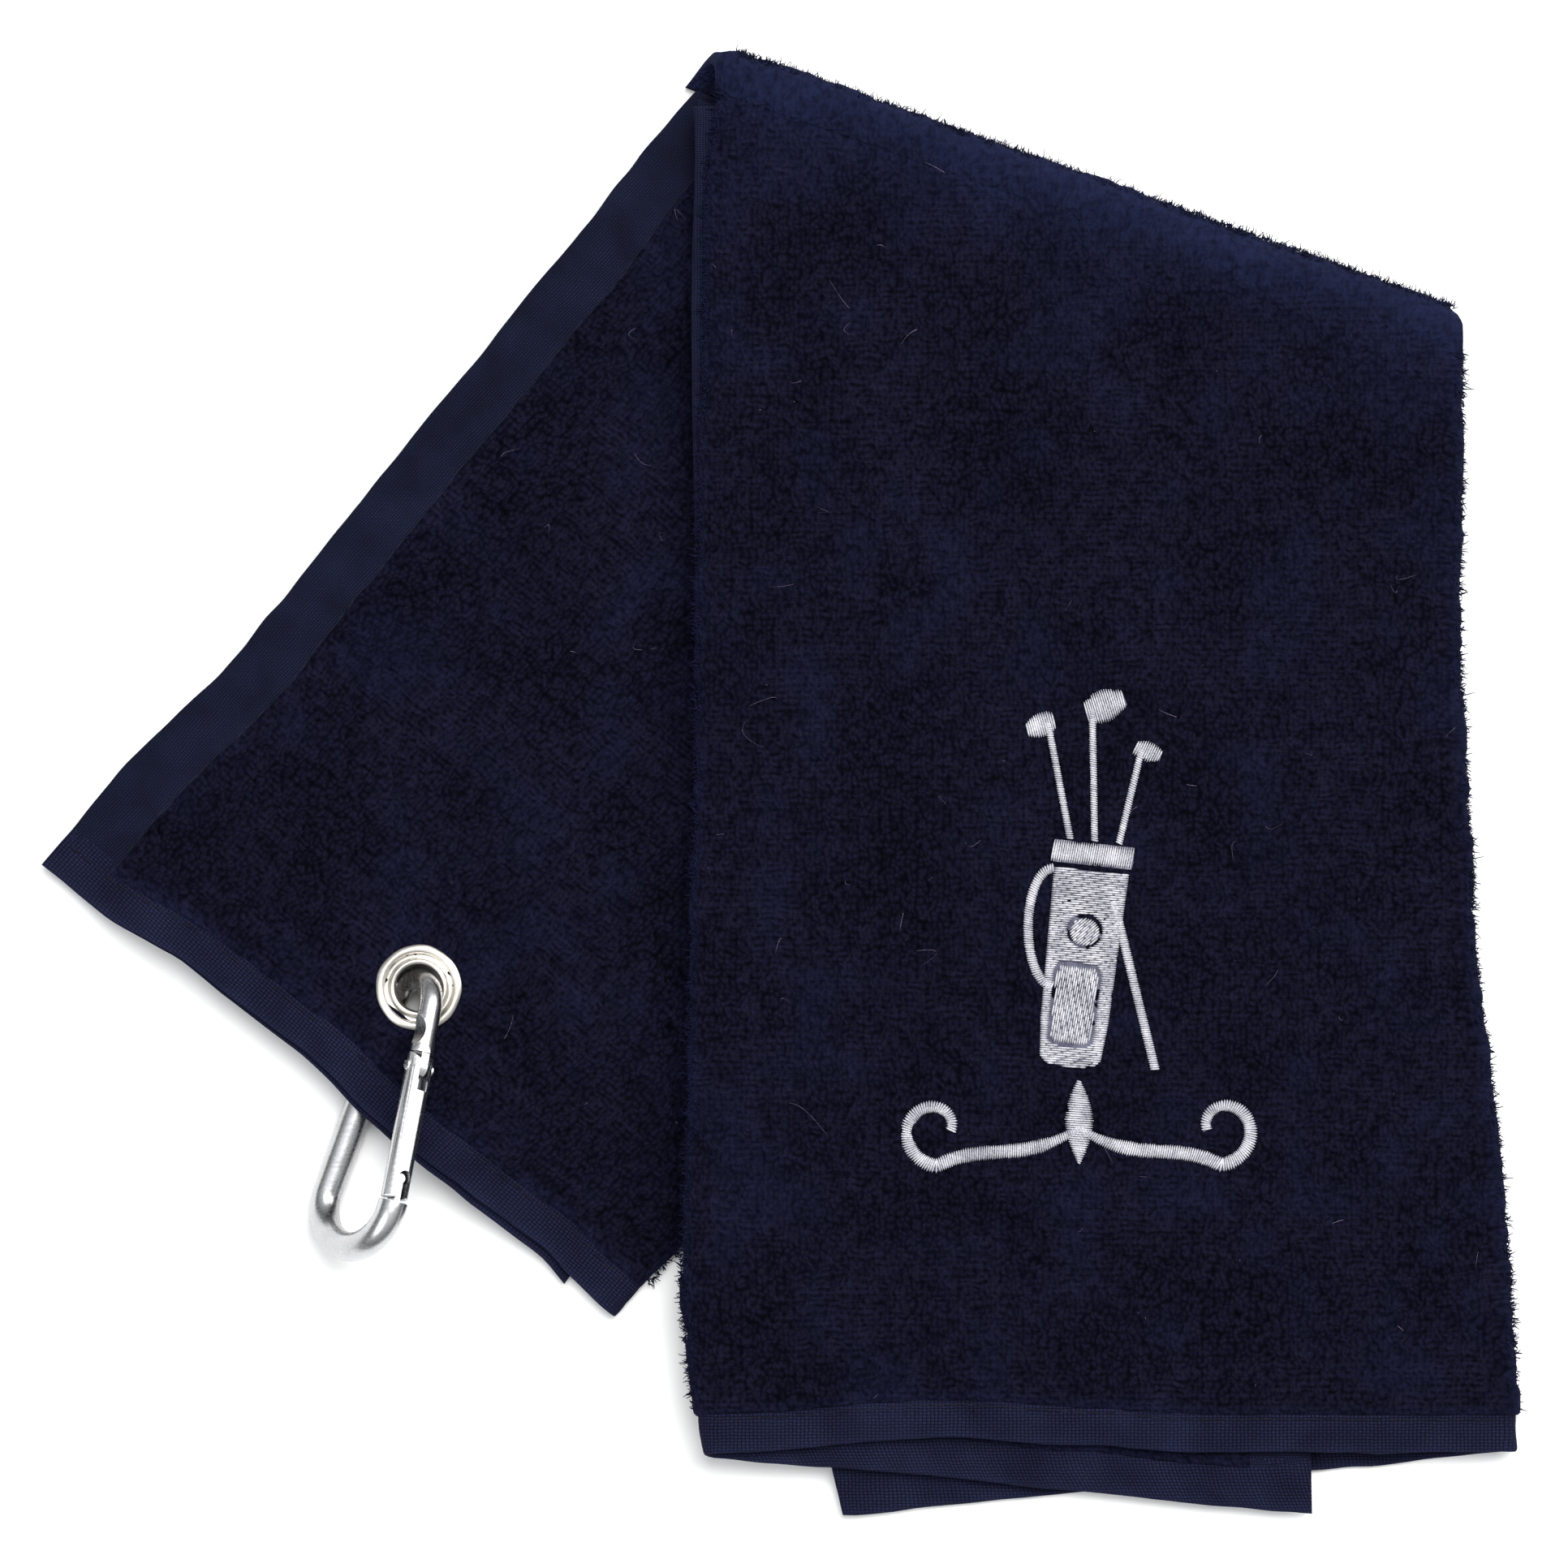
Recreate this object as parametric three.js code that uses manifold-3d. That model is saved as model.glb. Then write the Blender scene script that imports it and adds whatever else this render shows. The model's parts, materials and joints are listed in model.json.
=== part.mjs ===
// Golf towel: a velour terry towel folded in thirds along its length, then doubled over once on a
// slanting crease, with a grommet and a spring-gate carabiner at one end. Millimetres, +Z up.
// The rear half lies on the table, and the front half, which is embroidered, lies on top of it.
import * as THREE from 'three';
import { mergeVertices } from 'three/addons/utils/BufferGeometryUtils.js';
import Module from 'manifold-3d';

const wasm = await Module();
wasm.setup();

// ---- Driving dimensions -------------------------------------------------------------------
const CLEARANCE = 0.35;              // between pieces that rest on or pass each other
const STRIP_WIDTH = 148.8;           // towel folded in thirds, level width at the crease
const FRONT_LENGTH = 284.4;          // crease to embroidered end, along the left edge
const REAR_LENGTH = 217.3;           // crease to grommet end, along the left edge
const FOLD_ANGLE = 19.6;             // slant of the crease, degrees
const PILE_LAYER = 2.4;              // one layer of pile cloth
const END_LAYER = 1.1;               // one layer where the grommet end is pressed flat
const HEM_LAYER = 1.2;               // turned and stitched hems
const END_HEM_WIDTH = 8;
const SIDE_HEM_WIDTH = 14;

const FRONT_FLARE_LEFT = -3.7;       // how far each long edge of the front runs outwards
const FRONT_FLARE_RIGHT = 11.8;
const FRONT_BOW_LEFT = 5;            // the left edge is hollow by this much in the middle
const REAR_END_SKEW = 5.5;           // the grommet end is this much out of square
const FLAP_DROP_FRONT = 13;          // the folded flaps hang out below the embroidered end
const FLAP_DROP_REAR = 2;
// Each flap's share of the strip's width, at the crease and at the end.
const FRONT_FLAPS = { left: [0.85, 0.745], right: [1.02, 0.82] };
const REAR_FLAPS = { left: [0.85, 0.9], right: [0.99, 0.99] };

const GROMMET_SETBACK = 27.3;        // hole centre to the end of the cloth
const GROMMET_SIDE = -2.3;           // and sideways from the middle of the strip
const HOLE_RADIUS = 4.8;
const FLANGE_WIDTH = 4;              // ring of metal round the hole
const GROMMET_WALL = 0.8;
const GROMMET_SINK = 0.35;           // how deep each flange presses into the cloth

const CARABINER_LENGTH = 62;
const WIRE_RADIUS = 3.0;             // at the wide end
const NECK_FILL = 0.49;              // narrow end's wire radius, as a share of the hole's
const NECK_BEND = 6.8;               // centreline radius of the narrow end
const LOOP_HALF_WIDTH = 12.6;        // centreline, wide end
const LOOP_END_DEPTH = 9.8;          // centreline depth of the wide end's oval
const CARABINER_ROLL = 56;           // tilt about its own length, degrees
const CARABINER_HEADING = 255;       // compass direction of its length in plan, degrees
const NECK_OFFSET = 4.9;             // hole centre to the centre of the narrow bend, lengthwise
const NECK_SIDE = -0.35;             // and sideways
const NECK_SEAT = 1.73;              // centre of the narrow bend above the lifted cloth's underside
const GATE_RADIUS = 2.7;
const GATE_PIN_RADIUS = 0.75;
const GATE_PIN_AT = 12.6;            // from the end of the narrow bend to the gate pin
const TONGUE_THICKNESS = 1.8;

const THREAD_HEIGHT = 0.7;           // embroidery stands this far proud
const SATIN_WIDTH = 2.6;

// ---- Worked-out sizes ---------------------------------------------------------------------
const degrees = THREE.MathUtils.degToRad;
const lerp = THREE.MathUtils.lerp;
const smooth = THREE.MathUtils.smoothstep;
const pitch = PILE_LAYER + CLEARANCE;
const stackHeight = 3 * PILE_LAYER + 2 * CLEARANCE;
const frontBase = stackHeight + CLEARANCE;
const foldRadius = stackHeight + CLEARANCE / 2;

// ---- Plan of the folded strip -------------------------------------------------------------
const peak = new THREE.Vector2(-11.8, FRONT_LENGTH - 135.1);
const creaseDrop = STRIP_WIDTH * Math.tan(degrees(FOLD_ANGLE));
const creaseRight = new THREE.Vector2(peak.x + STRIP_WIDTH, peak.y - creaseDrop);
const creaseDirection = creaseRight.clone().sub(peak).normalize();
const creaseInward = new THREE.Vector2(creaseDirection.y, -creaseDirection.x);
const frontDirection = new THREE.Vector2(0, -1);
const rearHeading = degrees(270 - 2 * FOLD_ANGLE);
const rearDirection = new THREE.Vector2(Math.cos(rearHeading), Math.sin(rearHeading));
const rearAcross = new THREE.Vector2(-rearDirection.y, rearDirection.x);
const rearRightLength = REAR_LENGTH - creaseRight.clone().sub(peak).dot(rearDirection)
  - REAR_END_SKEW;

function along(start, direction, distance) {
  return start.clone().addScaledVector(direction, distance);
}

// A half is described by its two long edges, each a function of the share of its length, and by
// the level of each of its three layers above the table.
const front = {
  direction: frontDirection,
  levels: { middle: 2, left: 1, right: 0 },
  flaps: FRONT_FLAPS,
  drop: { left: FLAP_DROP_FRONT, right: FLAP_DROP_FRONT },
  lengths: [FRONT_LENGTH, FRONT_LENGTH - creaseDrop],
  edges: [
    (share) => along(peak, frontDirection, FRONT_LENGTH * share).add(new THREE.Vector2(
      FRONT_FLARE_LEFT * share - FRONT_BOW_LEFT * (1 - (2 * share - 1) ** 8), 0)),
    (share) => along(creaseRight, frontDirection, (FRONT_LENGTH - creaseDrop) * share).add(
      new THREE.Vector2(FRONT_FLARE_RIGHT * share ** 1.6, 0)),
  ],
};
const rear = {
  direction: rearDirection,
  levels: { middle: 0, left: 1, right: 2 },
  flaps: REAR_FLAPS,
  drop: { left: FLAP_DROP_REAR, right: 0 },
  lengths: [REAR_LENGTH, rearRightLength],
  edges: [
    (share) => along(peak, rearDirection, REAR_LENGTH * share),
    (share) => along(creaseRight, rearDirection, rearRightLength * share),
  ],
};

const flangeRadius = HOLE_RADIUS + FLANGE_WIDTH;
const rearEndMiddle = rear.edges[0](1).lerp(rear.edges[1](1), 0.5);
const grommetCentre = along(along(rearEndMiddle, rearDirection, -GROMMET_SETBACK), rearAcross,
  GROMMET_SIDE);

// ---- Carabiner's plane and attitude --------------------------------------------------------
// Drawn in its own plane: u along its length from the centre of the narrow bend, v across it
// towards the gate. The sides flare from the narrow bend to the oval of the wide end.
const neckWireRadius = NECK_FILL * HOLE_RADIUS;
const loopLength = CARABINER_LENGTH - neckWireRadius - WIRE_RADIUS - NECK_BEND - LOOP_END_DEPTH;

function ovalTouch(flare) {
  const angle = Math.PI / 2 + Math.atan(Math.tan(flare) * LOOP_END_DEPTH / LOOP_HALF_WIDTH);
  return { angle, u: loopLength + LOOP_END_DEPTH * Math.cos(angle),
    v: LOOP_HALF_WIDTH * Math.sin(angle) };
}

// The straight side touches both the bend and the oval: each pass brings its slope closer.
function sideFlare() {
  let flare = 0;
  for (let pass = 0; pass < 12; pass += 1) {
    const { u, v } = ovalTouch(flare);
    flare = Math.atan2(v - NECK_BEND * Math.cos(flare), u + NECK_BEND * Math.sin(flare));
  }
  return flare;
}
const flare = sideFlare();
const touch = ovalTouch(flare);
const neckEnd = new THREE.Vector2(-NECK_BEND * Math.sin(flare), NECK_BEND * Math.cos(flare));
const loopStart = new THREE.Vector2(touch.u, touch.v);
const gateDirection = loopStart.clone().sub(neckEnd).normalize();
const gatePin = along(neckEnd, gateDirection, GATE_PIN_AT);
const gateLength = gatePin.distanceTo(loopStart);

// Attitude: the spine lies level just off the table, and the gate side stands over the cloth.
const roll = degrees(CARABINER_ROLL);
const heading = degrees(CARABINER_HEADING);
const tilt = Math.atan(Math.tan(flare) * Math.sin(roll));
const forward = new THREE.Vector3(Math.cos(heading), Math.sin(heading), 0);
const sideways = new THREE.Vector3(-forward.y, forward.x, 0);
const upright = new THREE.Vector3(0, 0, 1);
const uAxis = forward.clone().multiplyScalar(Math.cos(tilt)).addScaledVector(upright, Math.sin(tilt));
const raised = forward.clone().multiplyScalar(-Math.sin(tilt))
  .addScaledVector(upright, Math.cos(tilt));
const vAxis = sideways.clone().multiplyScalar(Math.cos(roll)).addScaledVector(raised, Math.sin(roll));
const wAxis = uAxis.clone().cross(vAxis);
const SPINE_GAP = 0.05;
const spineHeight = WIRE_RADIUS + SPINE_GAP;
const neckHeight = spineHeight - (uAxis.z * neckEnd.x - vAxis.z * neckEnd.y);

// ---- Heights ------------------------------------------------------------------------------
// The cloth at the grommet sits as high as the narrow bend that passes through it.
const clothLift = neckHeight - NECK_SEAT;

// The front half lies on the rear half, and slopes down to the table past the rear half's edge.
const DRAPE_START = 3;
const DRAPE_LENGTH = 70;
function frontHeight(x, y) {
  const past = (x - creaseRight.x) * rearAcross.x + (y - creaseRight.y) * rearAcross.y;
  return frontBase * (1 - smooth(past, DRAPE_START, DRAPE_START + DRAPE_LENGTH));
}

// The grommet end of the rear half is propped up where the carabiner swings beneath it. Each
// ramp runs between two distances from the hole.
const LIFT_OUTWARD = [-48, -14];
const LIFT_LEFT = [-70, -44];
const LIFT_RIGHT = [24, 64];
const PRESS_OUTWARD = [-50, -12];
function rearFactors(x, y) {
  const dx = x - grommetCentre.x;
  const dy = y - grommetCentre.y;
  const outward = dx * rearDirection.x + dy * rearDirection.y;
  const sideways = dx * rearAcross.x + dy * rearAcross.y;
  const propped = smooth(outward, ...LIFT_OUTWARD) * smooth(sideways, ...LIFT_LEFT)
    * (1 - smooth(sideways, ...LIFT_RIGHT));
  const pressed = smooth(outward, ...PRESS_OUTWARD);
  return { propped, pressed };
}

function layerAt(half, level, x, y) {
  if (half === front) {
    return { z: frontHeight(x, y) + level * pitch + PILE_LAYER / 2, thickness: PILE_LAYER };
  }
  const { propped, pressed } = rearFactors(x, y);
  const thickness = lerp(PILE_LAYER, END_LAYER, pressed);
  return { z: clothLift * propped + level * (thickness + CLEARANCE) + thickness / 2, thickness };
}

// ---- Section of the folded strip ----------------------------------------------------------
// Stations run from the left flap's free edge, round the left turn, across the middle, round the
// right turn and back to the right flap's free edge.
const TURN_STEPS = 4;
const COLUMNS = 13;
const EDGE_MARGIN = 0.6;
const edgeInset = pitch + PILE_LAYER / 2 + EDGE_MARGIN;

function panelStations(layer, from, to, steps) {
  return Array.from({ length: steps + 1 }, (_, i) => ({ layer, at: lerp(from, to, i / steps) }));
}

function turnStations(side) {
  return Array.from({ length: TURN_STEPS - 1 }, (_, i) => {
    const turned = (i + 1) / TURN_STEPS;
    return { turn: side, turned: side === 'left' ? 1 - turned : turned };
  });
}

// A flap has the middle panel's columns as far as its side hem, so that the layers stay parallel.
function flapStations(half, side) {
  const reach = Math.min(...half.flaps[side]) - (SIDE_HEM_WIDTH + CLEARANCE) / STRIP_WIDTH;
  const inset = edgeInset / STRIP_WIDTH;
  const shared = Math.floor(COLUMNS * (reach - inset) / (1 - 2 * inset));
  return [...panelStations(side, 0, shared / COLUMNS, shared),
    { layer: side, fromFree: SIDE_HEM_WIDTH + CLEARANCE }];
}

function wholeSection(half) {
  return [
    ...flapStations(half, 'left').reverse(),
    ...turnStations('left'),
    ...panelStations('middle', 0, 1, COLUMNS),
    ...turnStations('right'),
    ...flapStations(half, 'right'),
  ];
}

const sideHemSection = (side) => [1, 0.5, 0].map((share) => (
  { layer: side, fromFree: share * SIDE_HEM_WIDTH }));

// A row crosses the strip. Rows of one band run between two distances from the end of the cloth,
// or from the crease when the band has no start of its own.
function rowAt(half, band, along01) {
  const creaseGap = (foldRadius + CLEARANCE) / Math.abs(half.direction.dot(creaseInward));
  const shares = half.lengths.map((length) => {
    const start = band.start === undefined ? creaseGap : length - band.start;
    return lerp(start, length - band.finish, along01) / length;
  });
  return { left: half.edges[0](shares[0]), right: half.edges[1](shares[1]), share: shares[0] };
}

// "at" is the share of the way across between the turns, counted from a flap's own fold, and
// "fromFree" is a distance in mm back from a flap's free edge.
function panelPoint(half, row, { layer, at, fromFree }) {
  const { left, right, share } = row;
  const width = left.distanceTo(right);
  const inset = edgeInset / width;
  if (layer === 'middle') {
    return left.clone().lerp(right, lerp(inset, 1 - inset, at));
  }
  const reach = lerp(half.flaps[layer][0], half.flaps[layer][1], share);
  const across = at === undefined ? reach - fromFree / width : lerp(inset, 1 - inset, at);
  const [fold, far] = layer === 'left' ? [left, right] : [right, left];
  const drop = half.drop[layer] * share ** 2 * (across / reach);
  return along(fold.clone().lerp(far, across), half.direction, drop);
}

function stationPoint(half, row, station, layerScale) {
  if (station.layer) {
    const plan = panelPoint(half, row, station);
    const { z, thickness } = layerAt(half, half.levels[station.layer], plan.x, plan.y);
    const up = (half === front) === (station.layer === 'middle') ? 1 : -1;
    return { centre: new THREE.Vector3(plan.x, plan.y, z), thickness: thickness * layerScale,
      normal: new THREE.Vector3(0, 0, up) };
  }
  const flapPlan = panelPoint(half, row, { layer: station.turn, at: 0 });
  const middleAt = station.turn === 'left' ? 0 : 1;
  const middlePlan = panelPoint(half, row, { layer: 'middle', at: middleAt });
  const middle = layerAt(half, half.levels.middle, middlePlan.x, middlePlan.y);
  const flap = layerAt(half, half.levels[station.turn], flapPlan.x, flapPlan.y);
  const outward = row.left.clone().sub(row.right).normalize();
  if (station.turn === 'right') {
    outward.negate();
  }
  const swing = Math.PI * station.turned;
  const normal = new THREE.Vector3(outward.x * Math.sin(swing), outward.y * Math.sin(swing),
    Math.sign(middle.z - flap.z) * Math.cos(swing));
  const plan = middlePlan.lerp(flapPlan, station.turned);
  const centre = new THREE.Vector3(plan.x, plan.y, (middle.z + flap.z) / 2)
    .addScaledVector(normal, Math.abs(middle.z - flap.z) / 2);
  const thickness = lerp(middle.thickness, flap.thickness, station.turned) * layerScale;
  return { centre, normal, thickness };
}

// ---- Mesh helpers -------------------------------------------------------------------------
function geometryFrom(points, faces) {
  const geometry = new THREE.BufferGeometry();
  geometry.setAttribute('position', new THREE.Float32BufferAttribute(points.flat(), 3));
  const corners = [new THREE.Vector3(), new THREE.Vector3(), new THREE.Vector3()];
  const volume = faces.reduce((sum, face) => {
    corners.forEach((corner, k) => corner.fromArray(points[face[k]]));
    return sum + corners[0].dot(corners[1].cross(corners[2]));
  }, 0);
  const outward = volume > 0 ? faces : faces.map(([p, q, r]) => [p, r, q]);
  geometry.setIndex(outward.flat());
  return geometry;
}

// A closed sheet over a grid of samples, each with a centre, a normal and a thickness.
function thickSheet(rows, columns, sample) {
  const points = [];
  const faces = [];
  const index = (side, i, j) => (side * (rows + 1) + i) * (columns + 1) + j;
  for (const side of [1, -1]) {
    for (let i = 0; i <= rows; i += 1) {
      for (let j = 0; j <= columns; j += 1) {
        const { centre, normal, thickness } = sample(i, j);
        points.push(centre.clone().addScaledVector(normal, side * thickness / 2).toArray());
      }
    }
  }
  const quad = (p, q, r, s) => faces.push([p, q, r], [p, r, s]);
  for (let i = 0; i < rows; i += 1) {
    for (let j = 0; j < columns; j += 1) {
      quad(index(0, i, j), index(0, i + 1, j), index(0, i + 1, j + 1), index(0, i, j + 1));
      quad(index(1, i, j), index(1, i, j + 1), index(1, i + 1, j + 1), index(1, i + 1, j));
    }
    quad(index(0, i, 0), index(1, i, 0), index(1, i + 1, 0), index(0, i + 1, 0));
    quad(index(0, i, columns), index(0, i + 1, columns), index(1, i + 1, columns),
      index(1, i, columns));
  }
  for (let j = 0; j < columns; j += 1) {
    quad(index(0, 0, j), index(0, 0, j + 1), index(1, 0, j + 1), index(1, 0, j));
    quad(index(0, rows, j), index(1, rows, j), index(1, rows, j + 1), index(0, rows, j + 1));
  }
  return geometryFrom(points, faces);
}

// A closed round wire along a path in one plane, with its own radius at each point.
function wire(path, radii, planeNormal, sides) {
  const points = [];
  const faces = [];
  path.forEach((point, i) => {
    const before = path[Math.max(0, i - 1)];
    const after = path[Math.min(path.length - 1, i + 1)];
    const sideways = after.clone().sub(before).normalize().cross(planeNormal);
    for (let k = 0; k < sides; k += 1) {
      const angle = 2 * Math.PI * k / sides;
      points.push(point.clone().addScaledVector(sideways, radii[i] * Math.cos(angle))
        .addScaledVector(planeNormal, radii[i] * Math.sin(angle)).toArray());
    }
  });
  for (let i = 0; i < path.length - 1; i += 1) {
    for (let k = 0; k < sides; k += 1) {
      const next = (k + 1) % sides;
      faces.push([i * sides + k, i * sides + next, (i + 1) * sides + next]);
      faces.push([i * sides + k, (i + 1) * sides + next, (i + 1) * sides + k]);
    }
  }
  const last = (path.length - 1) * sides;
  for (let k = 1; k < sides - 1; k += 1) {
    faces.push([0, k + 1, k], [last, last + k, last + k + 1]);
  }
  return geometryFrom(points, faces);
}

function toSolid(geometry) {
  const plain = geometry.clone();
  plain.deleteAttribute('normal');
  plain.deleteAttribute('uv');
  const merged = mergeVertices(plain, 1e-4);
  return new wasm.Manifold(new wasm.Mesh({
    numProp: 3,
    vertProperties: new Float32Array(merged.attributes.position.array),
    triVerts: new Uint32Array(merged.index.array),
  }));
}

function fromSolid(solid) {
  const mesh = solid.getMesh();
  const geometry = new THREE.BufferGeometry();
  geometry.setAttribute('position', new THREE.BufferAttribute(mesh.vertProperties, 3));
  geometry.setIndex(new THREE.BufferAttribute(mesh.triVerts, 1));
  return geometry;
}

// ---- Materials ----------------------------------------------------------------------------
const materials = {
  pile: new THREE.MeshStandardMaterial({ color: 0x15182f, roughness: 0.95, metalness: 0 }),
  weave: new THREE.MeshStandardMaterial({ color: 0x1f2540, roughness: 0.85, metalness: 0 }),
  navyThread: new THREE.MeshStandardMaterial({ color: 0x141a36, roughness: 0.7, metalness: 0 }),
  whiteThread: new THREE.MeshStandardMaterial({ color: 0xd8d7dc, roughness: 0.5, metalness: 0 }),
  nickel: new THREE.MeshStandardMaterial({ color: 0xb9b5ac, roughness: 0.25, metalness: 1 }),
  steel: new THREE.MeshStandardMaterial({ color: 0xd5d6d8, roughness: 0.2, metalness: 1 }),
  springSteel: new THREE.MeshStandardMaterial({ color: 0x9a9ca0, roughness: 0.35, metalness: 1 }),
};

const towel = new THREE.Group();

function addPart(name, geometry, material) {
  const mesh = new THREE.Mesh(geometry, material);
  mesh.name = name;
  towel.add(mesh);
}

// ---- Cloth, side hems and end hems --------------------------------------------------------
const HEM_GAP = 0.6;
const pileBand = { finish: END_HEM_WIDTH + HEM_GAP };
const endHemBand = { start: END_HEM_WIDTH, finish: 0 };
const ROWS = { front: 17, rear: 15 };

function clothPiece(half, band, stations, rows, layerScale = 1) {
  return thickSheet(rows, stations.length - 1, (i, j) => (
    stationPoint(half, rowAt(half, band, i / rows), stations[j], layerScale)));
}

function endHemSection(half) {
  return [...sideHemSection('left').reverse(), ...wholeSection(half), ...sideHemSection('right')];
}

// The grommet's barrel passes through all three layers, and its flanges press into them.
const endStack = 3 * END_LAYER + 2 * CLEARANCE;
const clampBottom = clothLift + GROMMET_SINK;
const clampTop = clothLift + endStack - GROMMET_SINK;

function grommetCut(radius, bottom, top) {
  return toSolid(new THREE.CylinderGeometry(radius, radius, top - bottom, 28)
    .rotateX(Math.PI / 2).translate(grommetCentre.x, grommetCentre.y, (bottom + top) / 2));
}

const rearCloth = toSolid(clothPiece(rear, pileBand, wholeSection(rear), ROWS.rear))
  .subtract(grommetCut(HOLE_RADIUS + GROMMET_WALL + CLEARANCE, 0, 2 * clampTop))
  .subtract(grommetCut(flangeRadius + CLEARANCE, 0, clampBottom))
  .subtract(grommetCut(flangeRadius + CLEARANCE, clampTop, 2 * clampTop));
addPart('rear_cloth', fromSolid(rearCloth), materials.pile);
addPart('front_cloth', clothPiece(front, pileBand, wholeSection(front), ROWS.front),
  materials.pile);
for (const [name, half] of Object.entries({ rear, front })) {
  for (const side of ['left', 'right']) {
    addPart(`${name}_${side}_side_hem`, clothPiece(half, pileBand, sideHemSection(side),
      ROWS[name], HEM_LAYER / PILE_LAYER), materials.weave);
  }
  const scale = half === front ? HEM_LAYER / PILE_LAYER : 1;
  addPart(`${name}_end_hem`, clothPiece(half, endHemBand, endHemSection(half), 1, scale),
    materials.weave);
}

// ---- Turn of the fold ---------------------------------------------------------------------
// Three nested half-round layers join the halves along the crease: the middle panel is outermost.
const foldAxis = along(peak, creaseInward, foldRadius);
const FOLD_STEPS = 10;

function foldTurn(radius, from, to) {
  const creaseLength = peak.distanceTo(creaseRight);
  return thickSheet(1, FOLD_STEPS, (i, j) => {
    const swing = Math.PI * (j / FOLD_STEPS - 0.5);
    const plan = along(foldAxis, creaseDirection, creaseLength * (i ? to : from));
    const outward = Math.cos(swing);
    const normal = new THREE.Vector3(-creaseInward.x * outward, -creaseInward.y * outward,
      Math.sin(swing));
    const centre = new THREE.Vector3(plan.x, plan.y, foldRadius).addScaledVector(normal, radius);
    return { centre, normal, thickness: PILE_LAYER };
  });
}
const turnRadius = (level) => foldRadius - PILE_LAYER / 2 - level * pitch;
addPart('fold_turn_middle_panel', foldTurn(turnRadius(0), 0.01, 0.99), materials.pile);
addPart('fold_turn_left_flap', foldTurn(turnRadius(1), 0.02, FRONT_FLAPS.left[0]), materials.pile);
addPart('fold_turn_right_flap', foldTurn(turnRadius(2), 0.02, 0.98), materials.pile);

// ---- Thread: hem stitching and embroidery -------------------------------------------------
const STITCH_WIDTH = 0.6;
const STITCH_GAP = 0.1;
const STITCH_INSET = 1.2;

function topPoint(half, plan, level, height) {
  const { z, thickness } = layerAt(half, level, plan.x, plan.y);
  return new THREE.Vector3(plan.x, plan.y, z + thickness / 2 + height);
}

// A ribbon of thread lying on the top layer. Its path gives places in plan.
function ribbon(half, level, path, widths, height, gap, columns) {
  const up = new THREE.Vector3(0, 0, 1);
  return thickSheet(path.length - 1, columns, (i, j) => {
    const before = path[Math.max(0, i - 1)];
    const after = path[Math.min(path.length - 1, i + 1)];
    const forward = after.clone().sub(before).normalize();
    const across = new THREE.Vector2(-forward.y, forward.x);
    const plan = along(path[i], across, widths[i] * (j / columns - 0.5));
    return { centre: topPoint(half, plan, level, gap + height / 2), normal: up,
      thickness: height };
  });
}

function hemThread(half, layer, level) {
  const row = rowAt(half, endHemBand, STITCH_INSET / END_HEM_WIDTH);
  const path = panelStations(layer, 0, 1, COLUMNS).slice(0, -1)
    .map((station) => panelPoint(half, row, station));
  const widths = path.map(() => STITCH_WIDTH);
  const sunk = half === front ? (PILE_LAYER - HEM_LAYER) / 2 : 0;
  return ribbon(half, level, path, widths, STITCH_WIDTH, STITCH_GAP - sunk, 1);
}
addPart('front_end_hem_thread', hemThread(front, 'middle', 2), materials.navyThread);
addPart('rear_end_hem_thread', hemThread(rear, 'right', 2), materials.navyThread);

const sideThreadPath = Array.from({ length: ROWS.rear - 1 }, (_, i) => (
  panelPoint(rear, rowAt(rear, pileBand, (i + 1) / ROWS.rear),
    { layer: 'right', fromFree: SIDE_HEM_WIDTH - STITCH_INSET })));
addPart('rear_side_hem_thread', ribbon(rear, 2, sideThreadPath,
  sideThreadPath.map(() => STITCH_WIDTH), STITCH_WIDTH, STITCH_GAP, 1), materials.navyThread);

// The embroidery is a bag of golf clubs over a plain scroll. Each is one run of joined stitching.
const EMBROIDERY_GAP = 0.4;
const BAG_FOOT_WIDTH = 13.5;
const BAG_MOUTH_WIDTH = 16;
const STRAP_WIDTH = 2;
const LEG_WIDTH = 1.9;
const SHAFT_WIDTH = 1.7;
const bagFoot = new THREE.Vector2(58, -57);
const bagMouth = new THREE.Vector2(63, -12);
const strapCentre = new THREE.Vector2(54.5, -29);
const strapReach = new THREE.Vector2(5, 12);
const legTop = new THREE.Vector2(67, -24);
const legFoot = new THREE.Vector2(75.5, -58);

function stitched(path, widths, columns = 1) {
  return toSolid(ribbon(front, 2, path, widths, THREAD_HEIGHT, EMBROIDERY_GAP, columns));
}

function straight(from, to, steps) {
  return Array.from({ length: steps + 1 }, (_, i) => from.clone().lerp(to, i / steps));
}

function join(solids) {
  return fromSolid(solids.reduce((joined, solid) => joined.add(solid)));
}

function club(mouthShare, tip, headAngle, headLength, headWidth) {
  const start = along(bagMouth, new THREE.Vector2(1, -0.1), mouthShare);
  const shaft = straight(start.clone().add(new THREE.Vector2(0, -3)), tip, 5);
  const headDirection = new THREE.Vector2(Math.cos(headAngle), Math.sin(headAngle));
  const head = straight(along(tip, headDirection, -1.2), along(tip, headDirection, headLength), 6);
  const headWidths = head.map((_, i) => headWidth * (0.35 + 0.65 * Math.sin(Math.PI * (i + 1) / 8)));
  return [stitched(shaft, shaft.map(() => SHAFT_WIDTH)), stitched(head, headWidths, 2)];
}

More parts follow.
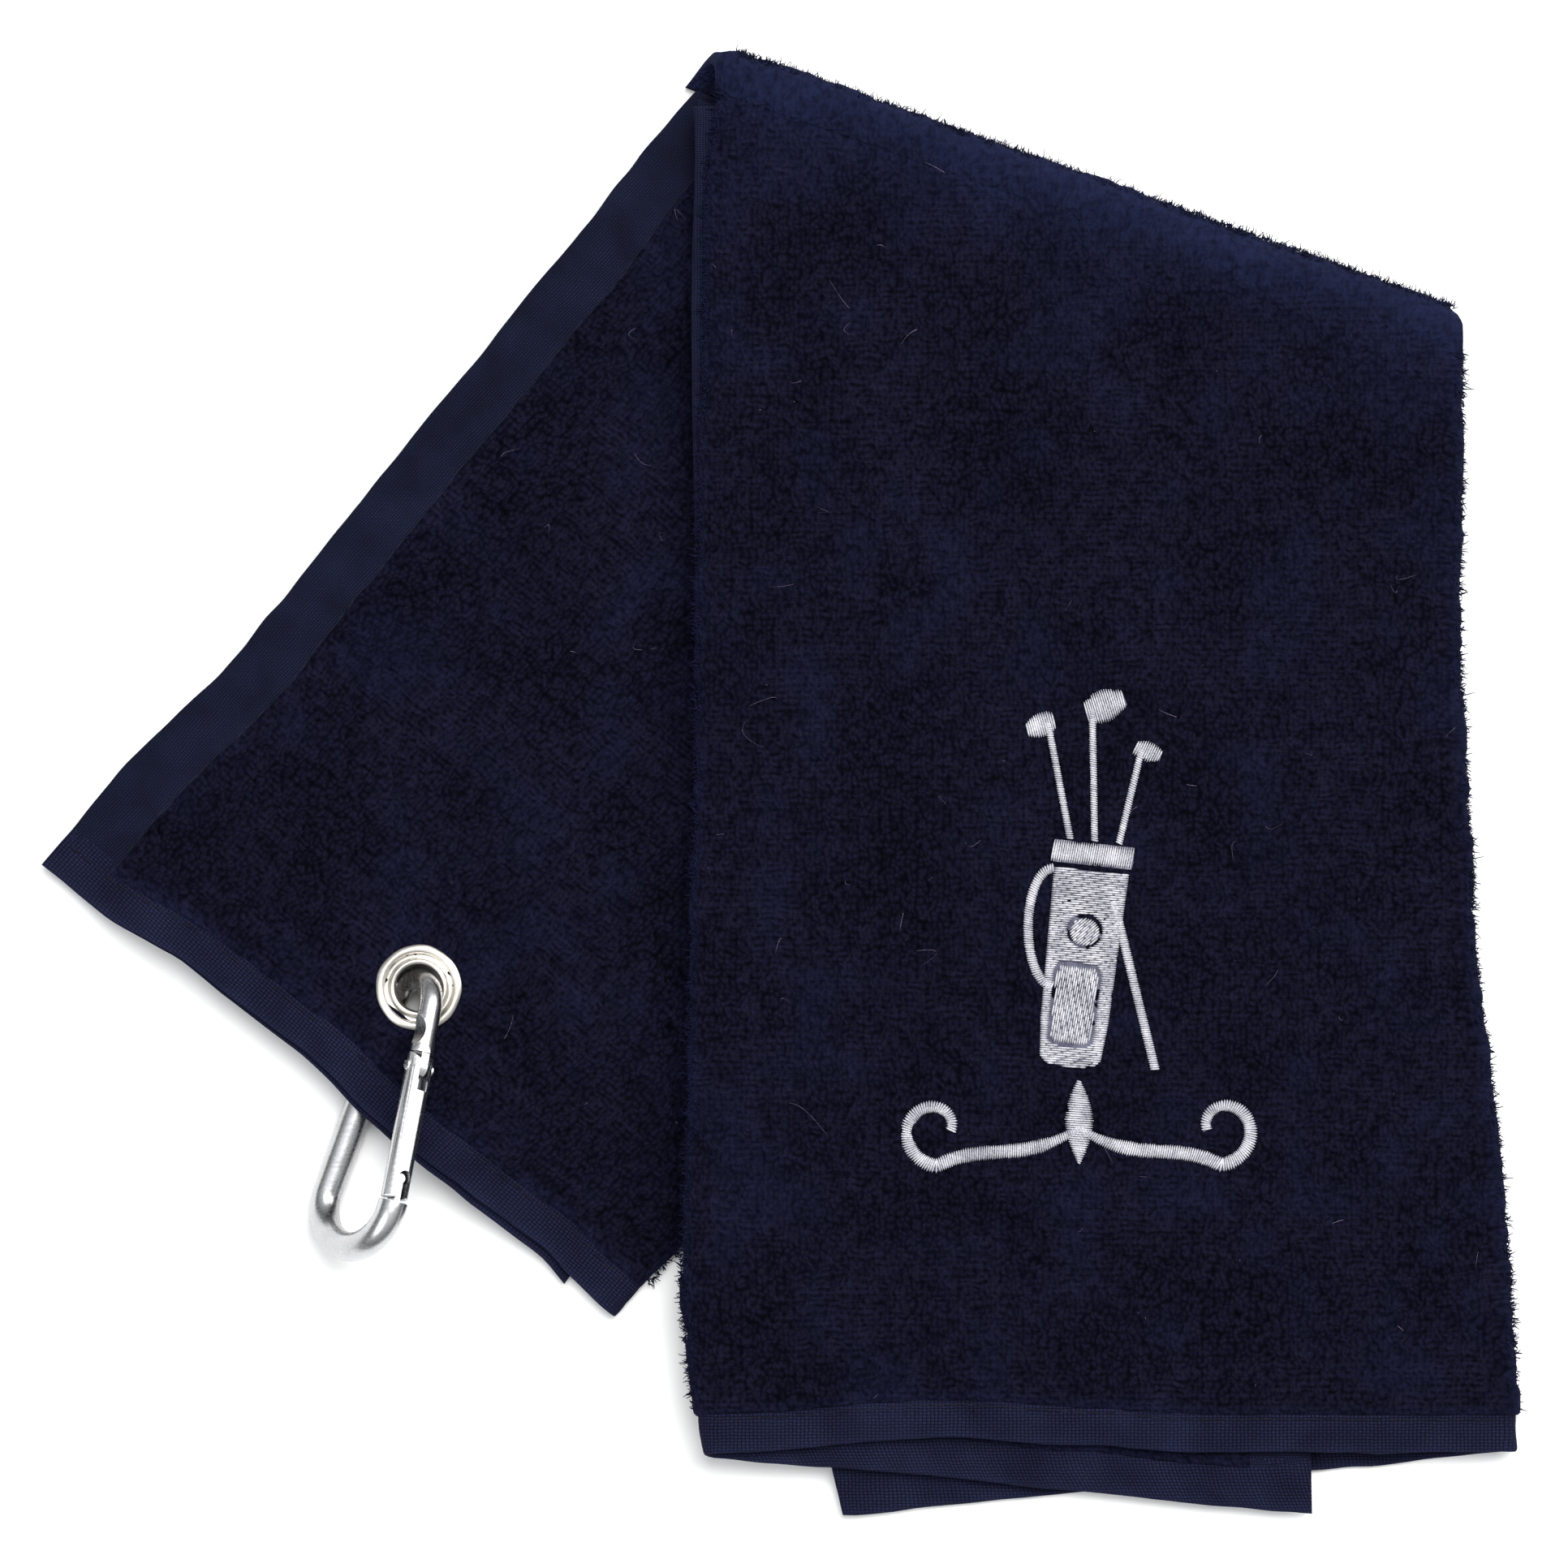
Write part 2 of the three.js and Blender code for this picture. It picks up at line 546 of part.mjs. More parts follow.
const bagPath = straight(bagFoot, bagMouth, 8);
const bagWidths = bagPath.map((_, i) => lerp(BAG_FOOT_WIDTH, BAG_MOUTH_WIDTH, i / 8));
const strapPath = Array.from({ length: 9 }, (_, i) => {
  const swing = Math.PI * (0.5 + i / 8);
  return new THREE.Vector2(strapCentre.x + strapReach.x * Math.cos(swing),
    strapCentre.y + strapReach.y * Math.sin(swing));
});
const legPath = straight(legTop, legFoot, 5);
addPart('embroidered_golf_bag', join([
  stitched(bagPath, bagWidths, 3),
  stitched(strapPath, strapPath.map(() => STRAP_WIDTH)),
  stitched(legPath, legPath.map(() => LEG_WIDTH)),
  ...club(-5, new THREE.Vector2(53.5, 12.5), degrees(200), 4.5, 5),
  ...club(0, new THREE.Vector2(62.5, 15), degrees(20), 7, 6.5),
  ...club(5, new THREE.Vector2(72.5, 7), degrees(-20), 4.2, 4.2),
]), materials.whiteThread);

// Each arm of the scroll runs out from the middle in a wave, and curls in on itself at its end.
const SCROLL_CENTRE = new THREE.Vector2(60, -70);
const SCROLL_REACH = 29;
const CURL_RADIUS = 7.5;

function scrollArm(side) {
  const wave = Array.from({ length: 11 }, (_, i) => {
    const share = i / 10;
    return new THREE.Vector2(SCROLL_REACH * share, -5.5 * Math.sin(Math.PI * share) * (1 - share)
      - CURL_RADIUS * share ** 2);
  });
  const curl = Array.from({ length: 18 }, (_, i) => {
    const swing = -Math.PI / 2 + 1.55 * Math.PI * (i + 1) / 18;
    const radius = CURL_RADIUS * (1 - 0.62 * (i + 1) / 18);
    return new THREE.Vector2(SCROLL_REACH + radius * Math.cos(swing), radius * Math.sin(swing));
  });
  const path = [...wave, ...curl].map(({ x, y }) => (
    new THREE.Vector2(SCROLL_CENTRE.x + side * x, SCROLL_CENTRE.y + y)));
  return stitched(path, path.map((_, i) => SATIN_WIDTH * (i < path.length - 1 ? 1 : 0.7)));
}

const leafWidths = Array.from({ length: 7 }, (_, i) => 0.6 + 5 * Math.sin(Math.PI * i / 6));
addPart('embroidered_scroll', join([
  scrollArm(1),
  scrollArm(-1),
  stitched(straight(along(SCROLL_CENTRE, frontDirection, 7),
    along(SCROLL_CENTRE, frontDirection, -10), 6), leafWidths, 2),
]), materials.whiteThread);

// ---- Grommet ------------------------------------------------------------------------------
const GROMMET_GAP = 0.1;
const WASHER_THICKNESS = 0.5;
const CURL_THICKNESS = 0.5;
const CURL_WIDTH = 2.3;
const CREST_WIDTH = 0.7;             // the rounded lip round the hole
const GROOVE_HEIGHT = 0.4;           // metal left under the ring groove of the flange
const EDGE_HEIGHT = 0.35;
const EDGE_SLOPE = 0.8;

function lathe(profile, segments) {
  const closed = [...profile, profile[0]].map(([r, z]) => new THREE.Vector2(r, z));
  return new THREE.LatheGeometry(closed, segments).rotateX(Math.PI / 2)
    .translate(grommetCentre.x, grommetCentre.y, 0);
}

const flangeBottom = clampTop + GROMMET_GAP;
const washerTop = clampBottom - GROMMET_GAP;
const washerBottom = washerTop - WASHER_THICKNESS;
const curlTop = washerBottom - GROMMET_GAP;
const washerHole = HOLE_RADIUS + GROMMET_WALL + 1.5 * GROMMET_GAP;
addPart('grommet_eyelet', fromSolid(toSolid(lathe([
  [HOLE_RADIUS, curlTop - CURL_THICKNESS + GROMMET_GAP],
  [HOLE_RADIUS + CURL_THICKNESS, curlTop - CURL_THICKNESS - GROMMET_GAP],
  [HOLE_RADIUS + CURL_WIDTH, curlTop - CURL_THICKNESS],
  [HOLE_RADIUS + CURL_WIDTH, curlTop],
  [HOLE_RADIUS + GROMMET_WALL, curlTop],
  [HOLE_RADIUS + GROMMET_WALL, flangeBottom],
  [flangeRadius, flangeBottom],
  [flangeRadius, flangeBottom + EDGE_HEIGHT],
  [flangeRadius - EDGE_SLOPE, flangeBottom + GROMMET_WALL],
  [flangeRadius - EDGE_SLOPE - 1, flangeBottom + GROOVE_HEIGHT],
  [HOLE_RADIUS + CREST_WIDTH + CURL_THICKNESS, flangeBottom + GROOVE_HEIGHT],
  [HOLE_RADIUS + CREST_WIDTH, flangeBottom + GROMMET_WALL],
  [HOLE_RADIUS, flangeBottom + GROOVE_HEIGHT / 2],
], 36))), materials.nickel);
addPart('grommet_washer', fromSolid(toSolid(lathe([
  [washerHole, washerBottom],
  [flangeRadius, washerBottom],
  [flangeRadius, washerTop],
  [washerHole, washerTop],
], 36))), materials.nickel);

// ---- Carabiner ----------------------------------------------------------------------------
const neckCentre = new THREE.Vector3(grommetCentre.x, grommetCentre.y, neckHeight)
  .addScaledVector(forward, NECK_OFFSET).addScaledVector(sideways, NECK_SIDE);
const carabinerPlace = new THREE.Matrix4().makeBasis(uAxis, vAxis, wAxis).setPosition(neckCentre);

// Gate frame: x along the gate from its pin, y outwards, z along the pin.
const gateAcross = new THREE.Vector2(-gateDirection.y, gateDirection.x);
const gatePlace = new THREE.Matrix4().makeBasis(
  new THREE.Vector3(gateDirection.x, gateDirection.y, 0),
  new THREE.Vector3(gateAcross.x, gateAcross.y, 0),
  new THREE.Vector3(0, 0, 1),
).setPosition(gatePin.x, gatePin.y, 0);

const WIRE_SIDES = 14;
const TONGUE_RADIUS = 2.1;
const PIN_FIT = 0.12;
const shoulderBack = GATE_RADIUS + CLEARANCE;

function block(x0, x1, y0, y1, z0, z1) {
  return new THREE.BoxGeometry(x1 - x0, y1 - y0, z1 - z0)
    .translate((x0 + x1) / 2, (y0 + y1) / 2, (z0 + z1) / 2);
}

function rodAlongZ(radius, height, x = 0, y = 0, sides = 16) {
  return new THREE.CylinderGeometry(radius, radius, height, sides).rotateX(Math.PI / 2)
    .translate(x, y, 0);
}

function rodAlongX(radius, from, to, sides = 16) {
  return new THREE.CylinderGeometry(radius, radius, to - from, sides).rotateZ(Math.PI / 2)
    .translate((from + to) / 2, 0, 0);
}

const inGateFrame = (geometry) => toSolid(geometry.clone().applyMatrix4(gatePlace));

function framePath() {
  const neck = Array.from({ length: 13 }, (_, i) => {
    const angle = Math.PI / 2 + flare + (Math.PI - 2 * flare) * i / 12;
    return new THREE.Vector3(NECK_BEND * Math.cos(angle), NECK_BEND * Math.sin(angle), 0);
  });
  const oval = Array.from({ length: 17 }, (_, i) => {
    const angle = -touch.angle + 2 * touch.angle * i / 16;
    return new THREE.Vector3(loopLength + LOOP_END_DEPTH * Math.cos(angle),
      LOOP_HALF_WIDTH * Math.sin(angle), 0);
  });
  const shoulder = along(gatePin, gateDirection, -shoulderBack);
  const noseShoulder = along(loopStart, gateDirection, CLEARANCE);
  oval[oval.length - 1] = new THREE.Vector3(noseShoulder.x, noseShoulder.y, 0);
  return [new THREE.Vector3(shoulder.x, shoulder.y, 0), ...neck, ...oval];
}

const NOSE_LENGTH = 4.5;
const NOSE_THICKNESS = 1.3;
const NOSE_HEAD_RADIUS = 1.15;
const BLADE_HALF_HEIGHT = 1.3;
const TONGUE_HALF_HEIGHT = 1.7;
const WIDENS_FROM = 4;               // along the carabiner, where the wire starts to thicken
const noseHeadAt = gateLength - NOSE_LENGTH;
const path = framePath();
const wireRadii = path.map(({ x }) => lerp(neckWireRadius, WIRE_RADIUS,
  smooth(x, WIDENS_FROM, loopLength * 0.6)));
const tongue = inGateFrame(block(-shoulderBack - 1, 0, -TONGUE_HALF_HEIGHT, TONGUE_HALF_HEIGHT,
  -TONGUE_THICKNESS / 2, TONGUE_THICKNESS / 2))
  .add(inGateFrame(rodAlongZ(TONGUE_RADIUS, TONGUE_THICKNESS)));
const blade = inGateFrame(block(noseHeadAt, gateLength + 1, -BLADE_HALF_HEIGHT,
  BLADE_HALF_HEIGHT, -NOSE_THICKNESS / 2, NOSE_THICKNESS / 2));
const noseHead = inGateFrame(rodAlongZ(NOSE_HEAD_RADIUS, 2 * BLADE_HALF_HEIGHT).rotateX(Math.PI / 2)
  .translate(noseHeadAt, 0, 0));
const frameSolid = toSolid(wire(path, wireRadii, new THREE.Vector3(0, 0, 1), WIRE_SIDES))
  .add(tongue).add(blade).add(noseHead)
  .subtract(inGateFrame(rodAlongZ(GATE_PIN_RADIUS + PIN_FIT, 3 * GATE_RADIUS)));

function addToCarabiner(name, geometry, material) {
  addPart(name, geometry.applyMatrix4(carabinerPlace), material);
}
addToCarabiner('carabiner_frame', fromSolid(frameSolid), materials.steel);

// The gate: a round bar, slotted at one end for the frame's tongue and at the other for its nose,
// and bored for the spring and its plunger.
const SLOT_END = 5;
const BORE_RADIUS = 1.35;
const BORE_DEPTH = 9;
const GATE_FLOOR = 0.7;              // wall left behind the nose's slot
const boreEnd = SLOT_END + BORE_DEPTH;
const tongueSlot = block(-2 * GATE_RADIUS, SLOT_END, -2 * GATE_RADIUS, 2 * GATE_RADIUS,
  -TONGUE_THICKNESS / 2 - CLEARANCE, TONGUE_THICKNESS / 2 + CLEARANCE);
const innerWall = -GATE_RADIUS + GATE_FLOOR;
const noseSlot = block(noseHeadAt, gateLength + 1, innerWall, 2 * GATE_RADIUS,
  -NOSE_THICKNESS / 2 - CLEARANCE, NOSE_THICKNESS / 2 + CLEARANCE);
const nosePocket = new THREE.CylinderGeometry(NOSE_HEAD_RADIUS + CLEARANCE,
  NOSE_HEAD_RADIUS + CLEARANCE, 2 * GATE_RADIUS - innerWall, 16)
  .translate(noseHeadAt, GATE_RADIUS + innerWall / 2 + innerWall, 0);
const earEnd = inGateFrame(rodAlongX(GATE_RADIUS, -2 * GATE_RADIUS, 0.5))
  .intersect(inGateFrame(rodAlongZ(GATE_RADIUS, 4 * GATE_RADIUS, 0, 0, 24)));
const gateSolid = inGateFrame(rodAlongX(GATE_RADIUS, 0, gateLength - CLEARANCE)).add(earEnd)
  .subtract(inGateFrame(tongueSlot)).subtract(inGateFrame(noseSlot))
  .subtract(inGateFrame(nosePocket))
  .subtract(inGateFrame(rodAlongX(BORE_RADIUS, SLOT_END - 0.5, boreEnd)))
  .subtract(inGateFrame(rodAlongZ(GATE_PIN_RADIUS + PIN_FIT, 3 * GATE_RADIUS)));
addToCarabiner('carabiner_gate', fromSolid(gateSolid), materials.steel);

const PIN_HEAD_RADIUS = 1.1;
const PIN_HEAD_THICKNESS = 0.4;
const pinHead = (side) => inGateFrame(rodAlongZ(PIN_HEAD_RADIUS, PIN_HEAD_THICKNESS)
  .translate(0, 0, side * (GATE_RADIUS + CLEARANCE + PIN_HEAD_THICKNESS / 4)));
addToCarabiner('gate_pin', fromSolid(inGateFrame(rodAlongZ(GATE_PIN_RADIUS,
  2 * GATE_RADIUS + 2 * CLEARANCE)).add(pinHead(1)).add(pinHead(-1))), materials.steel);

const PLUNGER_LENGTH = 4.5;
const PLUNGER_RADIUS = 0.85;
const plungerStart = TONGUE_RADIUS + CLEARANCE;
const plungerEnd = plungerStart + PLUNGER_LENGTH;
addToCarabiner('gate_plunger', fromSolid(inGateFrame(
  rodAlongX(PLUNGER_RADIUS, plungerStart, plungerEnd, 12))), materials.springSteel);

const SPRING_TURNS = 5;
const SPRING_WIRE = 0.2;
const SPRING_RADIUS = 0.9;
class Helix extends THREE.Curve {
  getPoint(share, target = new THREE.Vector3()) {
    const angle = 2 * Math.PI * SPRING_TURNS * share;
    const from = plungerEnd + CLEARANCE + SPRING_WIRE;
    const to = boreEnd - CLEARANCE - SPRING_WIRE;
    return target.set(lerp(from, to, share), SPRING_RADIUS * Math.cos(angle),
      SPRING_RADIUS * Math.sin(angle));
  }
}
const springSection = new THREE.Shape(Array.from({ length: 5 }, (_, k) => new THREE.Vector2(
  SPRING_WIRE * Math.cos(2 * Math.PI * k / 5), SPRING_WIRE * Math.sin(2 * Math.PI * k / 5))));
addToCarabiner('gate_spring', fromSolid(inGateFrame(new THREE.ExtrudeGeometry(springSection,
  { steps: SPRING_TURNS * 8, extrudePath: new Helix() }))), materials.springSteel);

// ---- Origin: middle of the underside ------------------------------------------------------
const extent = new THREE.Box3().setFromObject(towel);
const middle = extent.getCenter(new THREE.Vector3());
towel.position.set(-middle.x, -middle.y, -extent.min.z);

export default towel;
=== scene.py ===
import json
import math
import bpy
import numpy as np
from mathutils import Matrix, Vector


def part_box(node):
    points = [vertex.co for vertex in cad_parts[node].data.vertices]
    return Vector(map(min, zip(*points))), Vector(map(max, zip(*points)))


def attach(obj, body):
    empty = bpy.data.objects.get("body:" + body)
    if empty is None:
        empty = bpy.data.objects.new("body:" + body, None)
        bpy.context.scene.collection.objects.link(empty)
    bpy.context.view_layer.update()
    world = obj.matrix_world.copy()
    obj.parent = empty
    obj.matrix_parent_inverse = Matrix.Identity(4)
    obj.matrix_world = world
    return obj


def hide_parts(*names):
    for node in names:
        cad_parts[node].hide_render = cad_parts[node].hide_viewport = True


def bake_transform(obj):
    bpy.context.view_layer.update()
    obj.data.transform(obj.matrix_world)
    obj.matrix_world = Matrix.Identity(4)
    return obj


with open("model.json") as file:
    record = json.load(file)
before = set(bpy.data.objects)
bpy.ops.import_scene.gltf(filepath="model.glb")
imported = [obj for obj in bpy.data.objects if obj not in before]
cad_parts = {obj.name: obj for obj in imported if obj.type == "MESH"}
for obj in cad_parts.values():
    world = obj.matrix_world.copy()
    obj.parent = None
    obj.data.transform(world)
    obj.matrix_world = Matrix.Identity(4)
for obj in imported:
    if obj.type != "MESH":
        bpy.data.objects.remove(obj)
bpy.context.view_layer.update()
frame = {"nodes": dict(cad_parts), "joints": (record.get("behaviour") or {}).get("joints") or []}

rng = np.random.default_rng(7)
JOINTS = {joint["name"]: joint for joint in frame["joints"]}

# ---- Sizes, as in the CAD model ------------------------------------------------------------
CLEARANCE = 0.35
STRIP_WIDTH = 148.8
FRONT_LENGTH = 284.4
REAR_LENGTH = 217.3
PILE = 2.4
END_PILE = 1.1
END_HEM_WIDTH = 8.0
SIDE_HEM_WIDTH = 14.0
HEM_GAP = 0.6
FLARE_LEFT, FLARE_RIGHT, BOW_LEFT = -3.7, 11.8, 5.0
REAR_END_SKEW = 5.5
DROP_FRONT, DROP_REAR = 13.0, 2.0
HOLE_RADIUS = 4.8
FLANGE_WIDTH = 4.0
FLANGE_RADIUS = HOLE_RADIUS + FLANGE_WIDTH
GROMMET_SINK, GROMMET_GAP = 0.35, 0.1
CARABINER_LENGTH = 62.0
WIRE_RADIUS = 3.0
NECK_FILL = 0.49
NECK_WIRE_RADIUS = NECK_FILL * HOLE_RADIUS
NECK_BEND = 6.8
LOOP_HALF_WIDTH = 12.6
LOOP_END_DEPTH = 9.8
ROLL, HEADING = math.radians(56), math.radians(255)
NECK_OFFSET, NECK_SIDE = 4.9, -0.35
SPINE_GAP = 0.05
GATE_RADIUS = 2.7
GATE_PIN_RADIUS = 0.75
GATE_PIN_AT = 12.6
TONGUE_THICKNESS = 1.8
DRAPE_START, DRAPE_LENGTH = 3.0, 70.0

PITCH = PILE + CLEARANCE
STACK = 3 * PILE + 2 * CLEARANCE
FRONT_BASE = STACK + CLEARANCE
MM = 0.001
CLOTH_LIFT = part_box("grommet_washer")[1].z / MM + GROMMET_GAP - GROMMET_SINK


def lerp(a, b, t):
    return a + (b - a) * t


def smooth(x, low, high):
    t = np.clip((x - low) / (high - low), 0, 1)
    return t * t * (3 - 2 * t)


def unit(v):
    return np.asarray(v, float) / np.linalg.norm(v)


# ---- Plan, from the fold's hinge -----------------------------------------------------------
hinge = np.array(JOINTS["fold_open"]["pos_m"]) / MM
crease_dir = -unit(JOINTS["fold_open"]["axis"][:2])
crease_in = np.array([crease_dir[1], -crease_dir[0]])
FOLD_RADIUS = hinge[2]
fold_axis = hinge[:2]
peak = fold_axis - crease_in * FOLD_RADIUS
CREASE_LENGTH = STRIP_WIDTH / crease_dir[0]
crease_drop = -CREASE_LENGTH * crease_dir[1]
crease_right = peak + CREASE_LENGTH * crease_dir
grommet = np.array(JOINTS["carabiner_swing"]["pos_m"])[:2] / MM


class Half:
    """One half of the folded strip. Edges are functions of the share of its length."""

    def __init__(self, forward, levels, flaps, drop, lengths, edges, outer):
        self.forward = np.array(forward, float)
        self.across = np.array([-self.forward[1], self.forward[0]])
        self.levels, self.flaps, self.drop = levels, flaps, drop
        self.lengths, self.edges, self.outer = lengths, edges, outer
        self.gap = FOLD_RADIUS / abs(self.forward @ crease_in)

    def row(self, r, start, finish):
        """Ends of the rows, where r runs from start to finish, two distances from the end."""
        ends, shares = [], []
        for length, edge in zip(self.lengths, self.edges):
            first = self.gap if start is None else length - start
            share = lerp(first, length - finish, r) / length
            shares.append(share)
            ends.append(edge(share))
        return ends[0], ends[1], shares[0]


def line(start, forward, length, sideways=lambda s: 0 * s, across=(1, 0)):
    return lambda s: (np.asarray(start) + np.outer(length * s, forward)
                      + np.outer(sideways(s), across))


down = np.array([0.0, -1.0])
turned = math.pi * 1.5 - 2 * math.atan2(-crease_dir[1], crease_dir[0])
rear_dir = np.array([math.cos(turned), math.sin(turned)])
rear_right_length = REAR_LENGTH - (crease_right - peak) @ rear_dir - REAR_END_SKEW
# The pile stands out past the solid's edges, and the cloth spreads a little towards its ends.
FULLNESS = 1.25


def front_left_spread(s):
    return (FLARE_LEFT * s - BOW_LEFT * (1 - (2 * s - 1) ** 8) - FULLNESS
            - 1.7 * smooth(s, 0.55, 0.9))


def front_right_spread(s):
    return (FLARE_RIGHT * np.abs(s) ** 1.6 + FULLNESS * (1 - smooth(s, 0.1, 0.25))
            + 2.4 * smooth(s, 0.55, 0.8))


def rear_left_spread(s):
    return -FULLNESS * smooth(s, 0, 0.06) - 3.6 * smooth(s, 0.72, 0.9)


front = Half(
    down, {"middle": 2, "left": 1, "right": 0},
    {"left": (0.85, 0.745), "right": (1.02, 0.82)}, {"left": DROP_FRONT, "right": DROP_FRONT},
    (FRONT_LENGTH, FRONT_LENGTH - crease_drop),
    (line(peak, down, FRONT_LENGTH, front_left_spread),
     line(crease_right, down, FRONT_LENGTH - crease_drop, front_right_spread)), 1)
rear = Half(
    rear_dir, {"middle": 0, "left": 1, "right": 2},
    {"left": (0.85, 0.9), "right": (0.99, 0.99)}, {"left": DROP_REAR, "right": 0.0},
    (REAR_LENGTH, rear_right_length),
    (line(peak, rear_dir, REAR_LENGTH, rear_left_spread, (-rear_dir[1], rear_dir[0])),
     line(crease_right, rear_dir, rear_right_length)), -1)


# ---- Smooth noise over the cloth -----------------------------------------------------------
def noise(u, v, cell, seed):
    """Smooth random field between -1 and 1, with lumps about one cell across."""
    table = np.random.default_rng(seed).uniform(-1, 1, (64, 64))
    x, y = u / cell, v / cell
    i, j = np.floor(x).astype(int), np.floor(y).astype(int)
    fx, fy = smooth(x - i, 0, 1), smooth(y - j, 0, 1)
    a, b = i % 64, j % 64
    c, d = (i + 1) % 64, (j + 1) % 64
    return lerp(lerp(table[a, b], table[c, b], fx), lerp(table[a, d], table[c, d], fx), fy)


def pile_relief(u, v, seed):
    return (0.36 * noise(u, v, 2.4, seed) + 0.26 * noise(u, v, 1.4, seed + 1)
            + 0.18 * noise(u, v, 6.0, seed + 2))


# ---- Heights -------------------------------------------------------------------------------
def from_grommet(x, y):
    dx, dy = x - grommet[0], y - grommet[1]
    return (dx * rear.forward[0] + dy * rear.forward[1], dx * rear.across[0] + dy * rear.across[1])


def front_lift(x, y):
    past = (x - crease_right[0]) * rear.across[0] + (y - crease_right[1]) * rear.across[1]
    base = FRONT_BASE * (1 - smooth(past, DRAPE_START, DRAPE_START + DRAPE_LENGTH))
    clear = smooth((x - fold_axis[0]) * crease_in[0] + (y - fold_axis[1]) * crease_in[1], 2, 45)
    return base + clear * (0.45 + 0.45 * noise(x, y, 38, 50))


def rear_lift(x, y):
    """Height of the grommet end where the carabiner props it, with the cloth's soft folds."""
    outward, sideways = from_grommet(x, y)
    propped = smooth(outward, -48, -14) * smooth(sideways, -70, -44) * (
        1 - smooth(sideways, 24, 64))
    near = np.hypot(outward, sideways)
    angle = np.arctan2(sideways, outward)
    folds = np.zeros_like(near)
    for at, width, height in ((2.75, 0.20, 1.5), (-2.45, 0.16, 1.3), (2.05, 0.14, 1.0),
                              (-1.85, 0.12, 0.8), (3.10, 0.10, -0.5)):
        off = np.abs((angle - at + math.pi) % (2 * math.pi) - math.pi)
        folds += height * np.exp(-(off / width) ** 2)
    fade = smooth(near, 11, 26) * (1 - smooth(near, 42, 82))
    return CLOTH_LIFT * propped + fade * np.maximum(folds, 0)


def layer(half, level, x, y):
    if half is front:
        return front_lift(x, y) + level * PITCH + PILE / 2, np.full_like(x, PILE)
    outward, _ = from_grommet(x, y)
    thick = lerp(PILE, END_PILE, smooth(outward, -50, -12))
    return rear_lift(x, y) + level * (thick + CLEARANCE) + thick / 2, thick


def drift(half, kind, plan, share):
    """How far the real cloth strays in plan from the ideal strip."""
    x, y = plan[:, 0], plan[:, 1]
    near = smooth(share, 0.02, 0.12)
    wave = np.column_stack([noise(x, y, 17, 40), noise(x, y, 17, 41)]) * 0.45
    wave += np.column_stack([noise(x, y, 5.5, 42), noise(x, y, 5.5, 43)]) * 0.22
    late = smooth(share, 0.72, 1.0)
    if half is front:
        run = 1.2 * late
        if kind == "middle":
            run = run - 2.9 * smooth(share, 0.8, 1) * np.exp(-((x - peak[0] - 43) / 36) ** 2)
    else:
        side = (plan - peak) @ half.across
        run = late * (-2.9 * smooth(side, 12, 34) * (1 - smooth(side, 62, 96))
                      + 2.6 * smooth(side, 124, 142))
    return wave * near[:, None] + np.outer(run, half.forward)


# ---- Strip of cloth folded in thirds -------------------------------------------------------
EDGE_MARGIN = 0.6
EDGE_INSET = PITCH + PILE / 2 + EDGE_MARGIN


def stations(left=0, left_turn=0, middle=0, right_turn=0, right=0):
    """Columns across the section: kind of place, and how far along that place each column is."""
    kinds, at = [], []

    def add(kind, values):
        kinds.extend([kind] * len(values))
        at.extend(values)

    def flap(count):
        near = np.array([1, 0.9985, 0.995, 0.989])
        return np.concatenate([near, np.linspace(0.98, 0, count)])

    if left:
        add("left", flap(left))
    if left_turn:
        add("left_turn", 1 - np.arange(1, left_turn) / left_turn)
    if middle:
        add("middle", np.linspace(0, 1, middle))
    if right_turn:
        add("right_turn", np.arange(1, right_turn) / right_turn)
    if right:
        add("right", flap(right)[::-1])
    return np.array(kinds), np.array(at)


